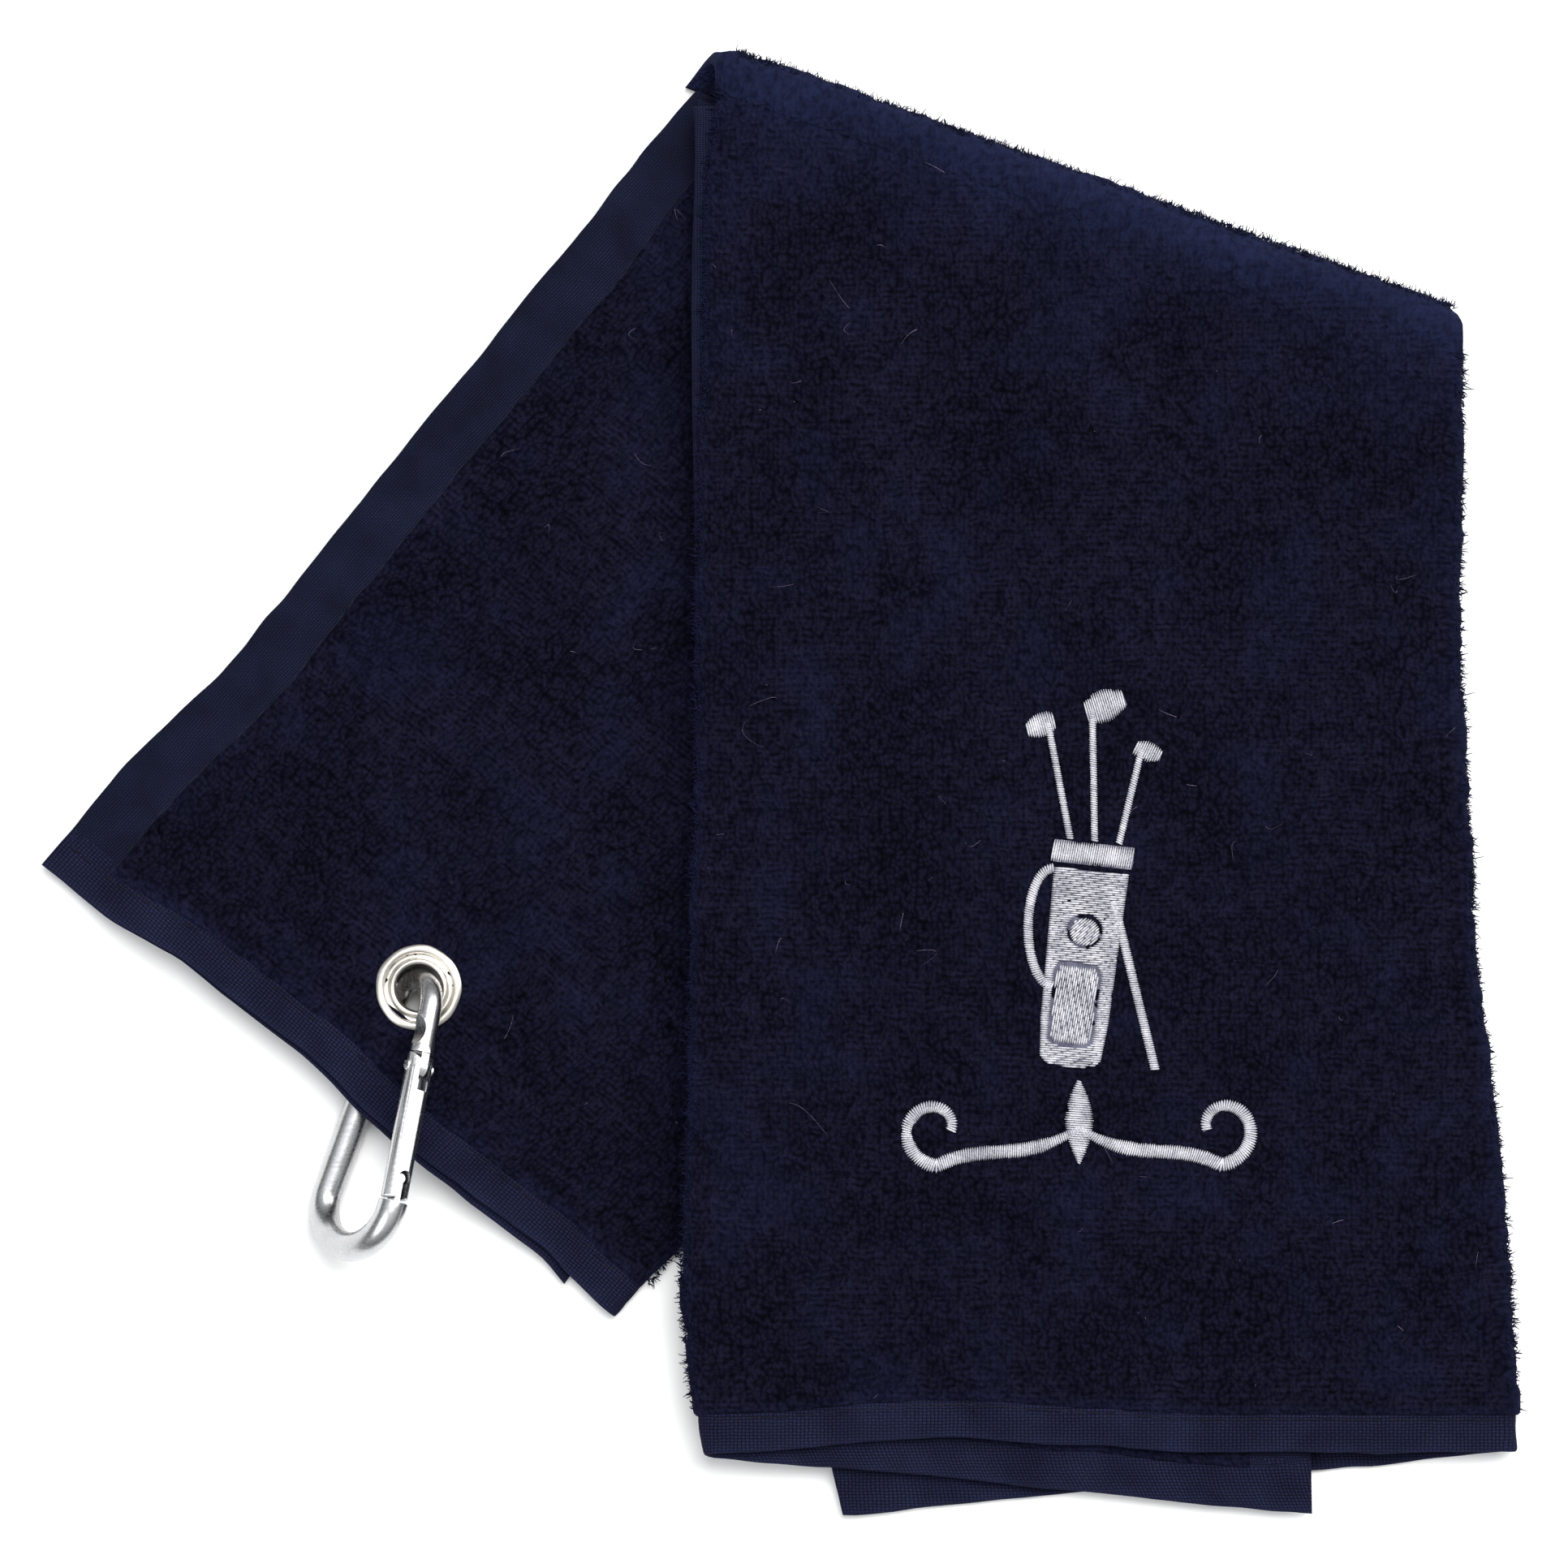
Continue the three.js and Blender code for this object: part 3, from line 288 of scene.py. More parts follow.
def section(half, left, right, share, columns, free=0.0):
    """Centres, normals, thickness and cloth coordinates of every row and column, in mm."""
    kinds, at = columns
    rows = len(share)
    width = np.linalg.norm(right - left, axis=1)
    inset = EDGE_INSET / width
    towards = (right - left) / width[:, None]

    def middle_at(t):
        across = lerp(inset, 1 - inset, t)
        plan = left + (right - left) * across[:, None]
        plan = plan + drift(half, "middle", plan, share)
        z, thick = layer(half, half.levels["middle"], plan[:, 0], plan[:, 1])
        return plan, z, thick

    def flap_at(side, t):
        low, high = half.flaps[side]
        reach = lerp(low, high, share)
        limit = reach - free / width
        across = lerp(inset, limit, t)
        fold, far = (left, right) if side == "left" else (right, left)
        plan = fold + (far - fold) * across[:, None]
        plan = plan + np.outer(half.drop[side] * share ** 2 * across / reach, half.forward)
        plan = plan + drift(half, side, plan, share)
        z, thick = layer(half, half.levels[side], plan[:, 0], plan[:, 1])
        return plan, z, thick, (across - inset) * width

    centre = np.zeros((rows, len(at), 3))
    normal = np.zeros((rows, len(at), 3))
    thick = np.zeros((rows, len(at)))
    u = np.zeros((rows, len(at)))
    v = np.zeros((rows, len(at)))
    turn = np.zeros((rows, len(at)))
    ends = {"left": middle_at(0.0), "right": middle_at(1.0)}
    for j, (kind, t) in enumerate(zip(kinds, at)):
        if kind == "middle":
            plan, z, thick[:, j] = middle_at(t)
            normal[:, j, 2] = half.outer
            u[:, j] = (plan - peak) @ half.across
        elif kind in ("left", "right"):
            plan, z, thick[:, j], run = flap_at(kind, t)
            normal[:, j, 2] = -half.outer
            side = -1 if kind == "left" else 1
            u[:, j] = (ends[kind][0] - peak) @ half.across + side * (8 + run)
        else:
            side = kind[:-5]
            sign = -1 if side == "left" else 1
            plan_m, z_m, thick_m = ends[side]
            plan_f, z_f, thick_f, _ = flap_at(side, 0.0)
            swing = math.pi * t
            out = sign * towards
            normal[:, j, :2] = out * math.sin(swing)
            normal[:, j, 2] = np.sign(z_m - z_f) * math.cos(swing)
            plan = lerp(plan_m, plan_f, t)
            half_gap = np.abs(z_m - z_f) / 2
            thick[:, j] = lerp(thick_m, thick_f, t)
            plan = plan + normal[:, j, :2] * half_gap[:, None]
            z = (z_m + z_f) / 2 + normal[:, j, 2] * half_gap
            u[:, j] = (plan_m - peak) @ half.across + sign * 8 * t
            turn[:, j] = math.sin(swing)
        centre[:, j, :2] = plan
        centre[:, j, 2] = z
        v[:, j] = (plan - peak) @ half.forward
    return centre, normal, thick, u, v, turn


def rounded(distance, radius):
    """Share of the full thickness left near a rounded edge."""
    t = np.clip(distance / radius, 0, 1)
    return 0.16 + 0.84 * np.sqrt(1 - (1 - t) ** 2)


# ---- Mesh making ---------------------------------------------------------------------------
MATERIALS = {}


def make_object(name, points, faces, material, body=None, uv=None, wear_and_sheen=None, flat=0):
    """A piece from points in mm. Its last "flat" faces are flat shaded, and none is under 0."""
    mesh = bpy.data.meshes.new(name)
    points = np.array(points, float)
    points[:, 2] = np.maximum(points[:, 2], 0)
    mesh.from_pydata((points * MM).tolist(), [], [list(map(int, f)) for f in faces])
    round_faces = len(mesh.polygons) - flat
    mesh.polygons.foreach_set("use_smooth", [True] * round_faces + [False] * flat)
    if uv is not None:
        loops = np.empty(len(mesh.loops), int)
        mesh.loops.foreach_get("vertex_index", loops)
        mesh.uv_layers.new(name="cloth").data.foreach_set("uv", uv[loops].ravel())
    if wear_and_sheen is not None:
        mesh.attributes.new("wear_and_sheen", "FLOAT", "POINT").data.foreach_set("value", wear_and_sheen)
    mesh.materials.append(MATERIALS[material])
    mesh.update()
    obj = bpy.data.objects.new(name, mesh)
    bpy.context.scene.collection.objects.link(obj)
    if body:
        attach(obj, body)
    return obj


def sheet_object(name, centre, normal, top, bottom, uv, material, body=None, wear_and_sheen=None, hole=None):
    """Closed sheet over a grid: top and bottom are distances from the centre along the normal."""
    rows, columns = top.shape
    count = rows * columns
    upper = centre + normal * top[..., None]
    lower = centre - normal * bottom[..., None]
    index = np.arange(count).reshape(rows, columns)
    quads = np.stack([index[:-1, :-1], index[1:, :-1], index[1:, 1:], index[:-1, 1:]], -1)
    keep = np.ones((rows - 1, columns - 1), bool)
    if hole is not None:
        at, radius = hole
        plan = centre[..., :2] - at
        inside = np.hypot(plan[..., 0], plan[..., 1]) < radius
        keep = ~(inside[:-1, :-1] | inside[1:, :-1] | inside[1:, 1:] | inside[:-1, 1:])
    quads = quads[keep]
    flat_up = upper.reshape(-1, 3)
    a, b, d = flat_up[quads[:, 0]], flat_up[quads[:, 1]], flat_up[quads[:, 3]]
    facing = (np.cross(b - a, d - a) * normal.reshape(-1, 3)[quads[:, 0]]).sum()
    if facing < 0:
        quads = quads[:, ::-1]
    starts = quads.ravel()
    stops = np.roll(quads, -1, axis=1).ravel()
    edge = starts.astype(np.int64) * count + stops
    lone = ~np.isin(edge, stops.astype(np.int64) * count + starts)
    p, q = starts[lone], stops[lone]
    rim = np.stack([q, p, p + count, q + count], -1)
    faces = np.concatenate([quads, quads[:, ::-1] + count, rim])
    points = np.concatenate([flat_up, lower.reshape(-1, 3)])
    used = np.zeros(2 * count, bool)
    used[faces.ravel()] = True
    new = np.cumsum(used) - 1
    pair = np.concatenate([uv, uv]).reshape(-1, 2)[used]
    both = None if wear_and_sheen is None else np.concatenate([wear_and_sheen.ravel(), wear_and_sheen.ravel()])[used]
    return make_object(name, points[used], new[faces], material, body, uv=pair, wear_and_sheen=both,
                       flat=len(rim))


# ---- Materials -----------------------------------------------------------------------------
def new_material(name):
    material = bpy.data.materials.new(name)
    material.use_nodes = True
    MATERIALS[name] = material
    tree = material.node_tree
    return tree, tree.nodes["Principled BSDF"]


def set_plain(shader, **values):
    """Values that are the same all over, on the shader's own sockets."""
    for name, value in values.items():
        shader.inputs[name.replace("_", " ")].default_value = value


class Net:
    """Short hand for building a node tree."""

    def __init__(self, tree):
        self.tree = tree

    def add(self, kind, inputs=None, **settings):
        node = self.tree.nodes.new("ShaderNode" + kind)
        for key, value in settings.items():
            setattr(node, key, value)
        for key, value in (inputs or {}).items():
            if isinstance(value, bpy.types.NodeSocket):
                self.tree.links.new(value, node.inputs[key])
            else:
                node.inputs[key].default_value = value
        return node

    def math(self, operation, a, b=0.0, c=0.0, clamp=False):
        return self.add("Math", {0: a, 1: b, 2: c}, operation=operation,
                        use_clamp=clamp).outputs[0]

    def noise(self, vector, scale, detail=2.0, rough=0.5):
        return self.add("TexNoise", {"Vector": vector, "Scale": scale, "Detail": detail,
                                     "Roughness": rough}).outputs["Fac"]

    def spread(self, value, low, high, to_low=0.0, to_high=1.0):
        return self.add("MapRange", {"Value": value, 1: low, 2: high, 3: to_low,
                                     4: to_high}).outputs[0]

    def mix(self, factor, a, b, blend="MIX"):
        node = self.tree.nodes.new("ShaderNodeMix")
        node.data_type = "RGBA"
        node.blend_type = blend
        for socket, value in ((node.inputs["Factor"], factor), (node.inputs[6], a),
                              (node.inputs[7], b)):
            if isinstance(value, bpy.types.NodeSocket):
                self.tree.links.new(value, socket)
            else:
                socket.default_value = value
        return node.outputs[2]

    def bump(self, height, strength, distance, normal=None):
        inputs = {"Height": height, "Strength": strength, "Distance": distance * MM}
        if normal is not None:
            inputs["Normal"] = normal
        return self.add("Bump", inputs).outputs[0]

    def wander(self, vector, scale, detail, reach):
        """The place, pushed about by a slow noise, so that rows and yarns don't run straight."""
        noise = self.add("TexNoise", {"Vector": vector, "Scale": scale,
                                      "Detail": detail}).outputs["Color"]
        centred = self.add("VectorMath", {0: noise, 1: (0.5, 0.5, 0.5)},
                           operation="SUBTRACT").outputs[0]
        shift = self.add("VectorMath", {0: centred, "Scale": reach},
                         operation="SCALE").outputs[0]
        return self.add("VectorMath", {0: vector, 1: shift}, operation="ADD").outputs[0]

    def tint(self, colour, tone):
        grey = self.add("CombineColor", {0: tone, 1: tone, 2: tone}).outputs[0]
        return self.mix(1.0, colour, grey, "MULTIPLY")

    def link(self, out, socket):
        self.tree.links.new(out, socket)


def srgb(r, g, b):
    """Linear colour of an 8-bit display colour."""
    return tuple(((c / 255 + 0.055) / 1.055) ** 2.4 if c > 10.3 else c / 255 / 12.92
                 for c in (r, g, b)) + (1.0,)


def grow(colour, factor):
    return tuple(c * factor for c in colour[:3]) + (1.0,)


def pile_material(name, deep, tip, fuzz, course, tuft):
    """Sheared terry: rows of small tufts, clumped and mottled, lighter where it is worn, and
    lighter on its turned edges and crease, where that is partly wear and partly painted sheen.
    """
    tree, shader = new_material(name)
    net = Net(tree)
    cloth = net.add("UVMap", uv_map="cloth").outputs[0]
    bent = net.wander(cloth, 0.30, 3.0, 2.2)
    scaled = net.add("VectorMath", {0: bent, 1: (1 / tuft, 1 / course, 1)},
                     operation="MULTIPLY").outputs[0]
    cells = net.add("TexVoronoi", {"Vector": scaled, "Scale": 1.0, "Randomness": 0.72},
                    voronoi_dimensions="2D")
    tufts = net.spread(cells.outputs["Distance"], 0.08, 0.72, 1.0, 0.0)
    parts = net.add("SeparateXYZ", {0: scaled})
    ridge = net.math("MULTIPLY", net.math("ADD", parts.outputs[1], 0.5), math.pi)
    rows = net.math("ABSOLUTE", net.math("SINE", ridge))
    where = net.spread(net.noise(cloth, 0.045, 2.0), 0.40, 0.62)
    rows_here = net.math("MULTIPLY", rows, net.math("MULTIPLY_ADD", where, 0.34, 0.10))
    clump = net.noise(bent, 0.55, 3.0, 0.6)
    height = net.math("ADD", net.math("MULTIPLY_ADD", tufts, 0.74, rows_here),
                      net.math("MULTIPLY", clump, 0.72))
    shade = net.spread(height, 0.35, 1.25)
    base = net.mix(shade, deep, tip)
    patch = net.spread(net.noise(cloth, 0.04, 3.0, 0.6), 0.34, 0.66, 0.90, 1.12)
    small = net.spread(net.noise(bent, 0.30, 3.0, 0.6), 0.36, 0.64, 0.70, 1.34)
    tone = net.math("MULTIPLY", patch, small)
    toned = net.tint(base, tone)
    # Lighter colour where worn, and on the turned edges and crease as painted sheen.
    worn = net.add("Attribute", attribute_name="wear_and_sheen").outputs["Fac"]
    wear_and_sheen_mask = net.math("MULTIPLY", worn, net.spread(clump, 0.35, 0.62, 0.45, 1.0), clamp=True)
    net.link(net.mix(wear_and_sheen_mask, toned, fuzz), shader.inputs["Base Color"])
    net.link(net.bump(height, 0.9, 0.55), shader.inputs["Normal"])
    set_plain(shader, Roughness=1.0, Specular_IOR_Level=0.02, Sheen_Weight=0.02,
              Sheen_Roughness=0.45, Sheen_Tint=srgb(150, 160, 225))


def weave_material(name, dark, light, cell):
    """Plain weave: a grid of small floats with dark gaps, every other one a little lower."""
    tree, shader = new_material(name)
    net = Net(tree)
    cloth = net.add("UVMap", uv_map="cloth").outputs[0]
    bent = net.wander(cloth, 0.25, 2.0, 0.5)
    parts = net.add("SeparateXYZ", {0: bent})
    waves = [net.math("SINE", net.math("MULTIPLY", parts.outputs[k], math.pi / size))
             for k, size in ((0, cell), (1, cell * 0.8))]
    product = net.math("MULTIPLY", waves[0], waves[1])
    floats = net.math("POWER", net.math("ABSOLUTE", product), 0.34)
    parity = net.spread(product, -0.6, 0.6, 0.86, 1.0)
    fibre = net.noise(bent, 3.2, 2.0)
    height = net.math("ADD", net.math("MULTIPLY", floats, parity),
                      net.math("MULTIPLY", fibre, 0.4))
    shade = net.spread(height, 0.45, 1.20)
    tone = net.spread(net.noise(cloth, 0.10, 3.0), 0.35, 0.65, 0.78, 1.22)
    base = net.mix(shade, dark, light)
    toned = net.tint(base, tone)
    # Lighter where the band is frayed or worn, and beside the crease, where the lighter colour is
    # painted sheen.
    worn = net.add("Attribute", attribute_name="wear_and_sheen").outputs["Fac"]
    net.link(net.mix(net.math("MULTIPLY", worn, 0.6), toned, grow(light, 1.8)),
             shader.inputs["Base Color"])
    net.link(net.bump(height, 0.8, 0.22), shader.inputs["Normal"])
    set_plain(shader, Roughness=0.92, Specular_IOR_Level=0.05, Sheen_Weight=0.04,
              Sheen_Roughness=0.4, Sheen_Tint=srgb(160, 170, 225))


def thread_material(name, dark, light, roughness, sheen, gloss=0.05):
    """Twisted yarn: fine ply lines and slight changes of tone."""
    tree, shader = new_material(name)
    net = Net(tree)
    place = net.add("TexCoord").outputs["Object"]
    ply = net.noise(place, 2600, 2.0)
    tone = net.noise(place, 260, 3.0)
    shade = net.spread(net.math("MULTIPLY_ADD", ply, 0.5, net.math("MULTIPLY", tone, 0.6)),
                       0.38, 0.70)
    net.link(net.mix(shade, dark, light), shader.inputs["Base Color"])
    net.link(net.bump(ply, 0.5, 0.06), shader.inputs["Normal"])
    set_plain(shader, Roughness=roughness, Specular_IOR_Level=gloss, Sheen_Weight=sheen,
              Sheen_Roughness=0.35)


def metal_material(name, colour, worn, roughness, scratch):
    """Plated or polished metal with faint handling marks."""
    tree, shader = new_material(name)
    net = Net(tree)
    place = net.add("TexCoord").outputs["Object"]
    long_marks = net.add("VectorMath", {0: place, 1: (1, 5, 5)}, operation="MULTIPLY").outputs[0]
    marks = net.noise(long_marks, 420, 4.0, 0.65)
    smudge = net.noise(place, 130, 3.0)
    net.link(net.mix(net.spread(smudge, 0.35, 0.7), colour, worn), shader.inputs["Base Color"])
    set_plain(shader, Metallic=1.0)
    rough = net.math("ADD", net.math("MULTIPLY", smudge, 0.12),
                     net.spread(marks, 0.35, 0.75, roughness, roughness + 0.12))
    net.link(rough, shader.inputs["Roughness"])
    net.link(net.bump(marks, scratch, 0.03), shader.inputs["Normal"])


# The third colour is that of worn places and of the painted sheen on the turned edges.
pile_material("velour_pile", srgb(2, 2, 5), srgb(15, 15, 29), srgb(26, 31, 58), 1.25, 1.08)
weave_material("end_weave", srgb(3, 3, 9), srgb(25, 28, 49), 0.80)
weave_material("side_weave", srgb(3, 4, 11), srgb(22, 25, 44), 0.58)
thread_material("hem_thread", srgb(12, 13, 22), srgb(28, 30, 40), 0.9, 0.0)
thread_material("lint", srgb(60, 54, 78), srgb(120, 110, 130), 0.9, 0.02)
thread_material("fuzz", srgb(8, 8, 20), srgb(22, 25, 50), 0.95, 0.0)
thread_material("embroidery_thread", srgb(120, 120, 130), srgb(190, 189, 195), 0.5, 0.05, 0.4)
# Darker grey of the plates under the embroidery: painted shade between the stitches.
thread_material("stitch_shadow_thread", srgb(60, 60, 76), srgb(96, 96, 112), 0.8, 0.0)
metal_material("nickel_plate", (0.56, 0.535, 0.49, 1), (0.47, 0.45, 0.41, 1), 0.22, 0.25)
metal_material("polished_steel", (0.53, 0.53, 0.54, 1), (0.45, 0.45, 0.46, 1), 0.17, 0.15)
metal_material("spring_steel", (0.50, 0.51, 0.53, 1), (0.40, 0.41, 0.43, 1), 0.28, 0.2)


# ---- Cloth ---------------------------------------------------------------------------------
def strip_sheet(name, half, body, material, columns, rows, start, finish, layer_scale=1.0,
                free=0.0, seed=None, hole=None, wear_and_sheen_gain=0.0, round_start=True, edge=1.1,
                skip=0.0):
    """One sheet of the folded strip, between two distances from its end."""
    length = (half.lengths[0] - half.gap if start is None else start) - finish
    near = np.array([0, 0.25, 0.7, 1.3]) / length
    inner = np.linspace(2 / length, 1 - 2 / length, rows - 8)
    r = lerp(skip / length, 1, np.concatenate([near, inner, (1 - near)[::-1]]))
    left, right, share = half.row(r, start, finish)
    centre, normal, thick, u, v, turn = section(half, left, right, share, columns, free)
    from_start, from_end = r * length - skip, (1 - r) * length
    body_scale = rounded(from_end, edge)
    if round_start:
        body_scale = body_scale * rounded(from_start, edge)
    kinds, at = columns
    side = np.ones(len(at))
    width = np.linalg.norm(right - left, axis=1).mean()
    for flap in ("left", "right"):
        mine = kinds == flap
        side[mine] = rounded((1 - at[mine]) * width * 0.8, edge)
    scale = body_scale[:, None] * side[None, :]
    base = thick * layer_scale / 2 * scale
    if seed is None:
        ripple = 0.07 * noise(u, v, 1.7, 90) * scale
        top, bottom = base + ripple, base - ripple
        rough_edge = 2.5 * np.exp(-from_end[:, None] / 0.7)
    else:
        rough_edge = np.clip(1 - from_end[:, None] / 3, 0, 1)
        calm = lerp(0.4, 1.0, smooth(from_end, 1, 6))[:, None]
        top = base + calm * pile_relief(u, v, seed) * scale * np.clip(thick / PILE, 0.5, 1)
        bottom = base + 0.5 * pile_relief(u, v, seed + 20) * scale * 0.6
        top = top + (0.3 * noise(u, v, 3.6, seed + 30) + 0.2) * turn
    # Lighter on the turned edges and beside the crease: partly wear and partly painted sheen.
    # Lighter at the cut ends and in random patches: wear.
    fold = 0
    if half is front and start is None:
        fold = SEAM_WEAR_AND_SHEEN * np.exp(-from_start[:, None] / 7)
    wear_and_sheen = np.clip(wear_and_sheen_gain * turn ** 2 + 0.2 * rough_edge + fold
                   + 0.16 * np.clip(noise(u, v, 9, 60), 0, 1), 0, 1)
    return sheet_object(name, centre, normal, top, bottom, np.stack([u, v], -1), material, body,
                        wear_and_sheen=wear_and_sheen, hole=hole)


PILE_OVERHANG = 1.0      # how far the pile hangs over the end hem
# Lightening along the crease and beside it: partly wear and partly painted sheen.
SEAM_WEAR_AND_SHEEN = 0.35
BAND_GAP = 2.0           # left free beside the crease, so that the bands don't clash when open
HEM_TUCK = 2.6
pile_end = END_HEM_WIDTH + HEM_GAP - PILE_OVERHANG
hem_start = END_HEM_WIDTH + HEM_TUCK
side_tuck = 1.8
grommet_hole = (grommet, HOLE_RADIUS + 1.5)

front_pile = strip_sheet(
    "front_pile_cloth", front, "front_half", "velour_pile",
    stations(left=24, left_turn=9, middle=126, right_turn=11, right=28), 236, None, pile_end,
    free=SIDE_HEM_WIDTH - side_tuck, seed=100, wear_and_sheen_gain=0.55, round_start=False)
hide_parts("front_cloth")
rear_pile = strip_sheet(
    "rear_pile_cloth", rear, "rear_half", "velour_pile",
    stations(left=24, left_turn=9, middle=50, right_turn=11, right=112), 178, None, pile_end,
    free=SIDE_HEM_WIDTH - side_tuck, seed=200, hole=grommet_hole, wear_and_sheen_gain=0.45,
    round_start=False)
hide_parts("rear_cloth")

for half_name, half, body in (("rear", rear, "rear_half"), ("front", front, "front_half")):
    for side in ("left", "right"):
        seen = half_name == "rear" and side == "right"
        kinds, at = stations(**{side: 18 if seen else 6})
        low = half.flaps[side][0] - EDGE_INSET / STRIP_WIDTH
        at = 1 - (1 - at) * (SIDE_HEM_WIDTH + 0.4) / (STRIP_WIDTH * low)
        strip_sheet(
            f"{half_name}_{side}_side_band", half, body, "side_weave", (kinds, at),
            170 if seen else 60, None, pile_end - 0.4, skip=BAND_GAP,
            layer_scale=0.5, hole=grommet_hole if seen else None)
        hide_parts(f"{half_name}_{side}_side_hem")

for half_name, half, body in (("rear", rear, "rear_half"), ("front", front, "front_half")):
    columns = stations(left=60, left_turn=9, middle=120, right_turn=11, right=70)
    strip_sheet(
        f"{half_name}_end_band", half, body, "end_weave", columns, 22, hem_start, 0.0,
        layer_scale=0.5, edge=0.7)
    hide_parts(f"{half_name}_end_hem")


# ---- Turn of the fold ----------------------------------------------------------------------
# How far each turn stops short of the crease's left and right end, by its level. A turn with
# negative values runs past them.
TURN_ENDS = {0: (-2.3, -0.8), 1: (2.2, 24.0), 2: (3.0, 1.6)}
SLOPE = -crease_dir[1] / crease_dir[0]
SEAM_SHIFT = FOLD_RADIUS * SLOPE
TURN_LAP = 1.2


def fold_turn(name, level, columns, steps):
    full = FOLD_RADIUS - PILE / 2 - level * PITCH
    first, last = TURN_ENDS[level]
    a = np.concatenate([[0, 0.3, 0.8], np.linspace(1.6, CREASE_LENGTH - first - last - 1.6,
                                                  columns), [0, 0, 0]]) + first
    a[-3:] = CREASE_LENGTH - last - np.array([0.8, 0.3, 0])
    # Each end of the half-round runs on level for a little way, inside the sheet it meets.
    swing = np.concatenate([[-math.pi / 2], np.linspace(-math.pi / 2, math.pi / 2, steps + 1),
                            [math.pi / 2]])
    lap = np.zeros(len(swing))
    lap[[0, -1]] = TURN_LAP
    corner = np.clip(1 - np.minimum(a - a[0], a[-1] - a) / 6.0, 0, 1) ** 2
    radius = (full * (1 - 0.2 * corner))[None, :]
    out, up = np.cos(swing)[:, None, None], np.sin(swing)[:, None]
    # The strip's edges carry straight on round the bend, so the ends of the turn are slanted.
    slant = SEAM_SHIFT * swing / (math.pi / 2) + lap * np.sign(swing) * SLOPE
    place = (a[None, :] + slant[:, None])[..., None]
    plan = fold_axis + place * crease_dir - (
        radius[..., None] * out - lap[:, None, None]) * crease_in
    ones = np.ones((1, len(a)))
    centre = np.dstack([plan, FOLD_RADIUS + full * up * ones])
    normal = np.dstack([-out * crease_in * ones[..., None], up * ones])
    arc = full * (math.pi / 2 - swing) - np.sign(swing) * lap
    flat = fold_axis + place * crease_dir - arc[:, None, None] * crease_in
    u, v = (flat - peak) @ front.across, (flat - peak) @ front.forward
    ends = rounded(np.minimum(a - a[0], a[-1] - a), 1.1)[None, :]
    bulge = 0.5 * noise(u, v, 26, 70) * np.cos(swing)[:, None] ** 2
    sunk = 0.12 * (lap > 0)[:, None]
    top = (PILE / 2 - sunk) * ends + pile_relief(u, v, 100) * ends + bulge
    top = top + 0.9 * np.cos(swing)[:, None]
    bottom = (PILE / 2 - sunk) * ends - bulge
    # Lighter all along the turn and most on its outer face: partly wear and partly painted sheen.
    bare = SEAM_WEAR_AND_SHEEN + (0.9 - SEAM_WEAR_AND_SHEEN) * np.cos(swing)[:, None] ** 1.5
    wear_and_sheen = np.clip(bare + 0.2 * noise(u, v, 12, 61), 0, 1)
    return sheet_object(name, centre, normal, top, bottom, np.dstack([u, v]), "velour_pile",
                        wear_and_sheen=wear_and_sheen * ones)


def blend_over_crease(piece):
    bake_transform(piece)


turns = [
    (fold_turn("fold_turn_middle", 0, 134, 22), "fold_turn_middle_panel", 0),
    (fold_turn("fold_turn_left", 1, 70, 14), "fold_turn_left_flap", 1),
    (fold_turn("fold_turn_right", 2, 80, 8), "fold_turn_right_flap", 2),
]
for piece, node, level in turns:
    blend_over_crease(piece)
    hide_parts(node)


# ---- Narrow selvedge beside the front's left edge ------------------------------------------
SELVEDGE_START, SELVEDGE_STOP = 3, 118


def selvedge():
    v = np.linspace(SELVEDGE_START, SELVEDGE_STOP, 90)[:, None]
    t = np.linspace(0, 1, 9)[None, :]
    edge = front.edges[0]((v.ravel() + front.gap) / FRONT_LENGTH)[:, :1] + 1.9
    show = 2.0 * (1 - smooth(v, 30, SELVEDGE_STOP))
    show = show + 2.6 * np.exp(-(v - SELVEDGE_START) / 8) + 0.2
    x = edge - show + (show + 3.0) * t
    y = peak[1] - front.gap - v + 0 * t
    z = front_lift(x, y) + 1.4 * PITCH + PILE / 2 + 0.2 * noise(x, y, 9, 75)
    thick = 0.55 * rounded(np.minimum(t * (show + 3), 3 - 3 * t), 0.6)
    thick = thick * rounded(np.minimum(v - SELVEDGE_START, SELVEDGE_STOP - v), 0.6)
    normal = np.zeros(x.shape + (3,))
    normal[..., 2] = 1
    ripple = 0.05 * noise(x, y, 1.5, 76)
    return sheet_object("front_left_selvedge", np.dstack([x, y, z]), normal, thick + ripple,
                        thick - ripple, np.dstack([x, y]), "side_weave", "front_half",
                        wear_and_sheen=np.full(x.shape, 0.15))


edge_strip = selvedge()


# ---- Threads -------------------------------------------------------------------------------
def tube_sides(n, segments, sides):
    """Side faces of n tubes, each of so many segments."""
    base = np.arange(n)[:, None, None] * (segments + 1) * sides
    i = np.arange(segments)[None, :, None] * sides
    k = np.arange(sides)[None, None, :]
    k2 = (k + 1) % sides
    return np.stack([base + i + k, base + i + k2, base + i + sides + k2, base + i + sides + k],
                    -1).reshape(-1, 4)


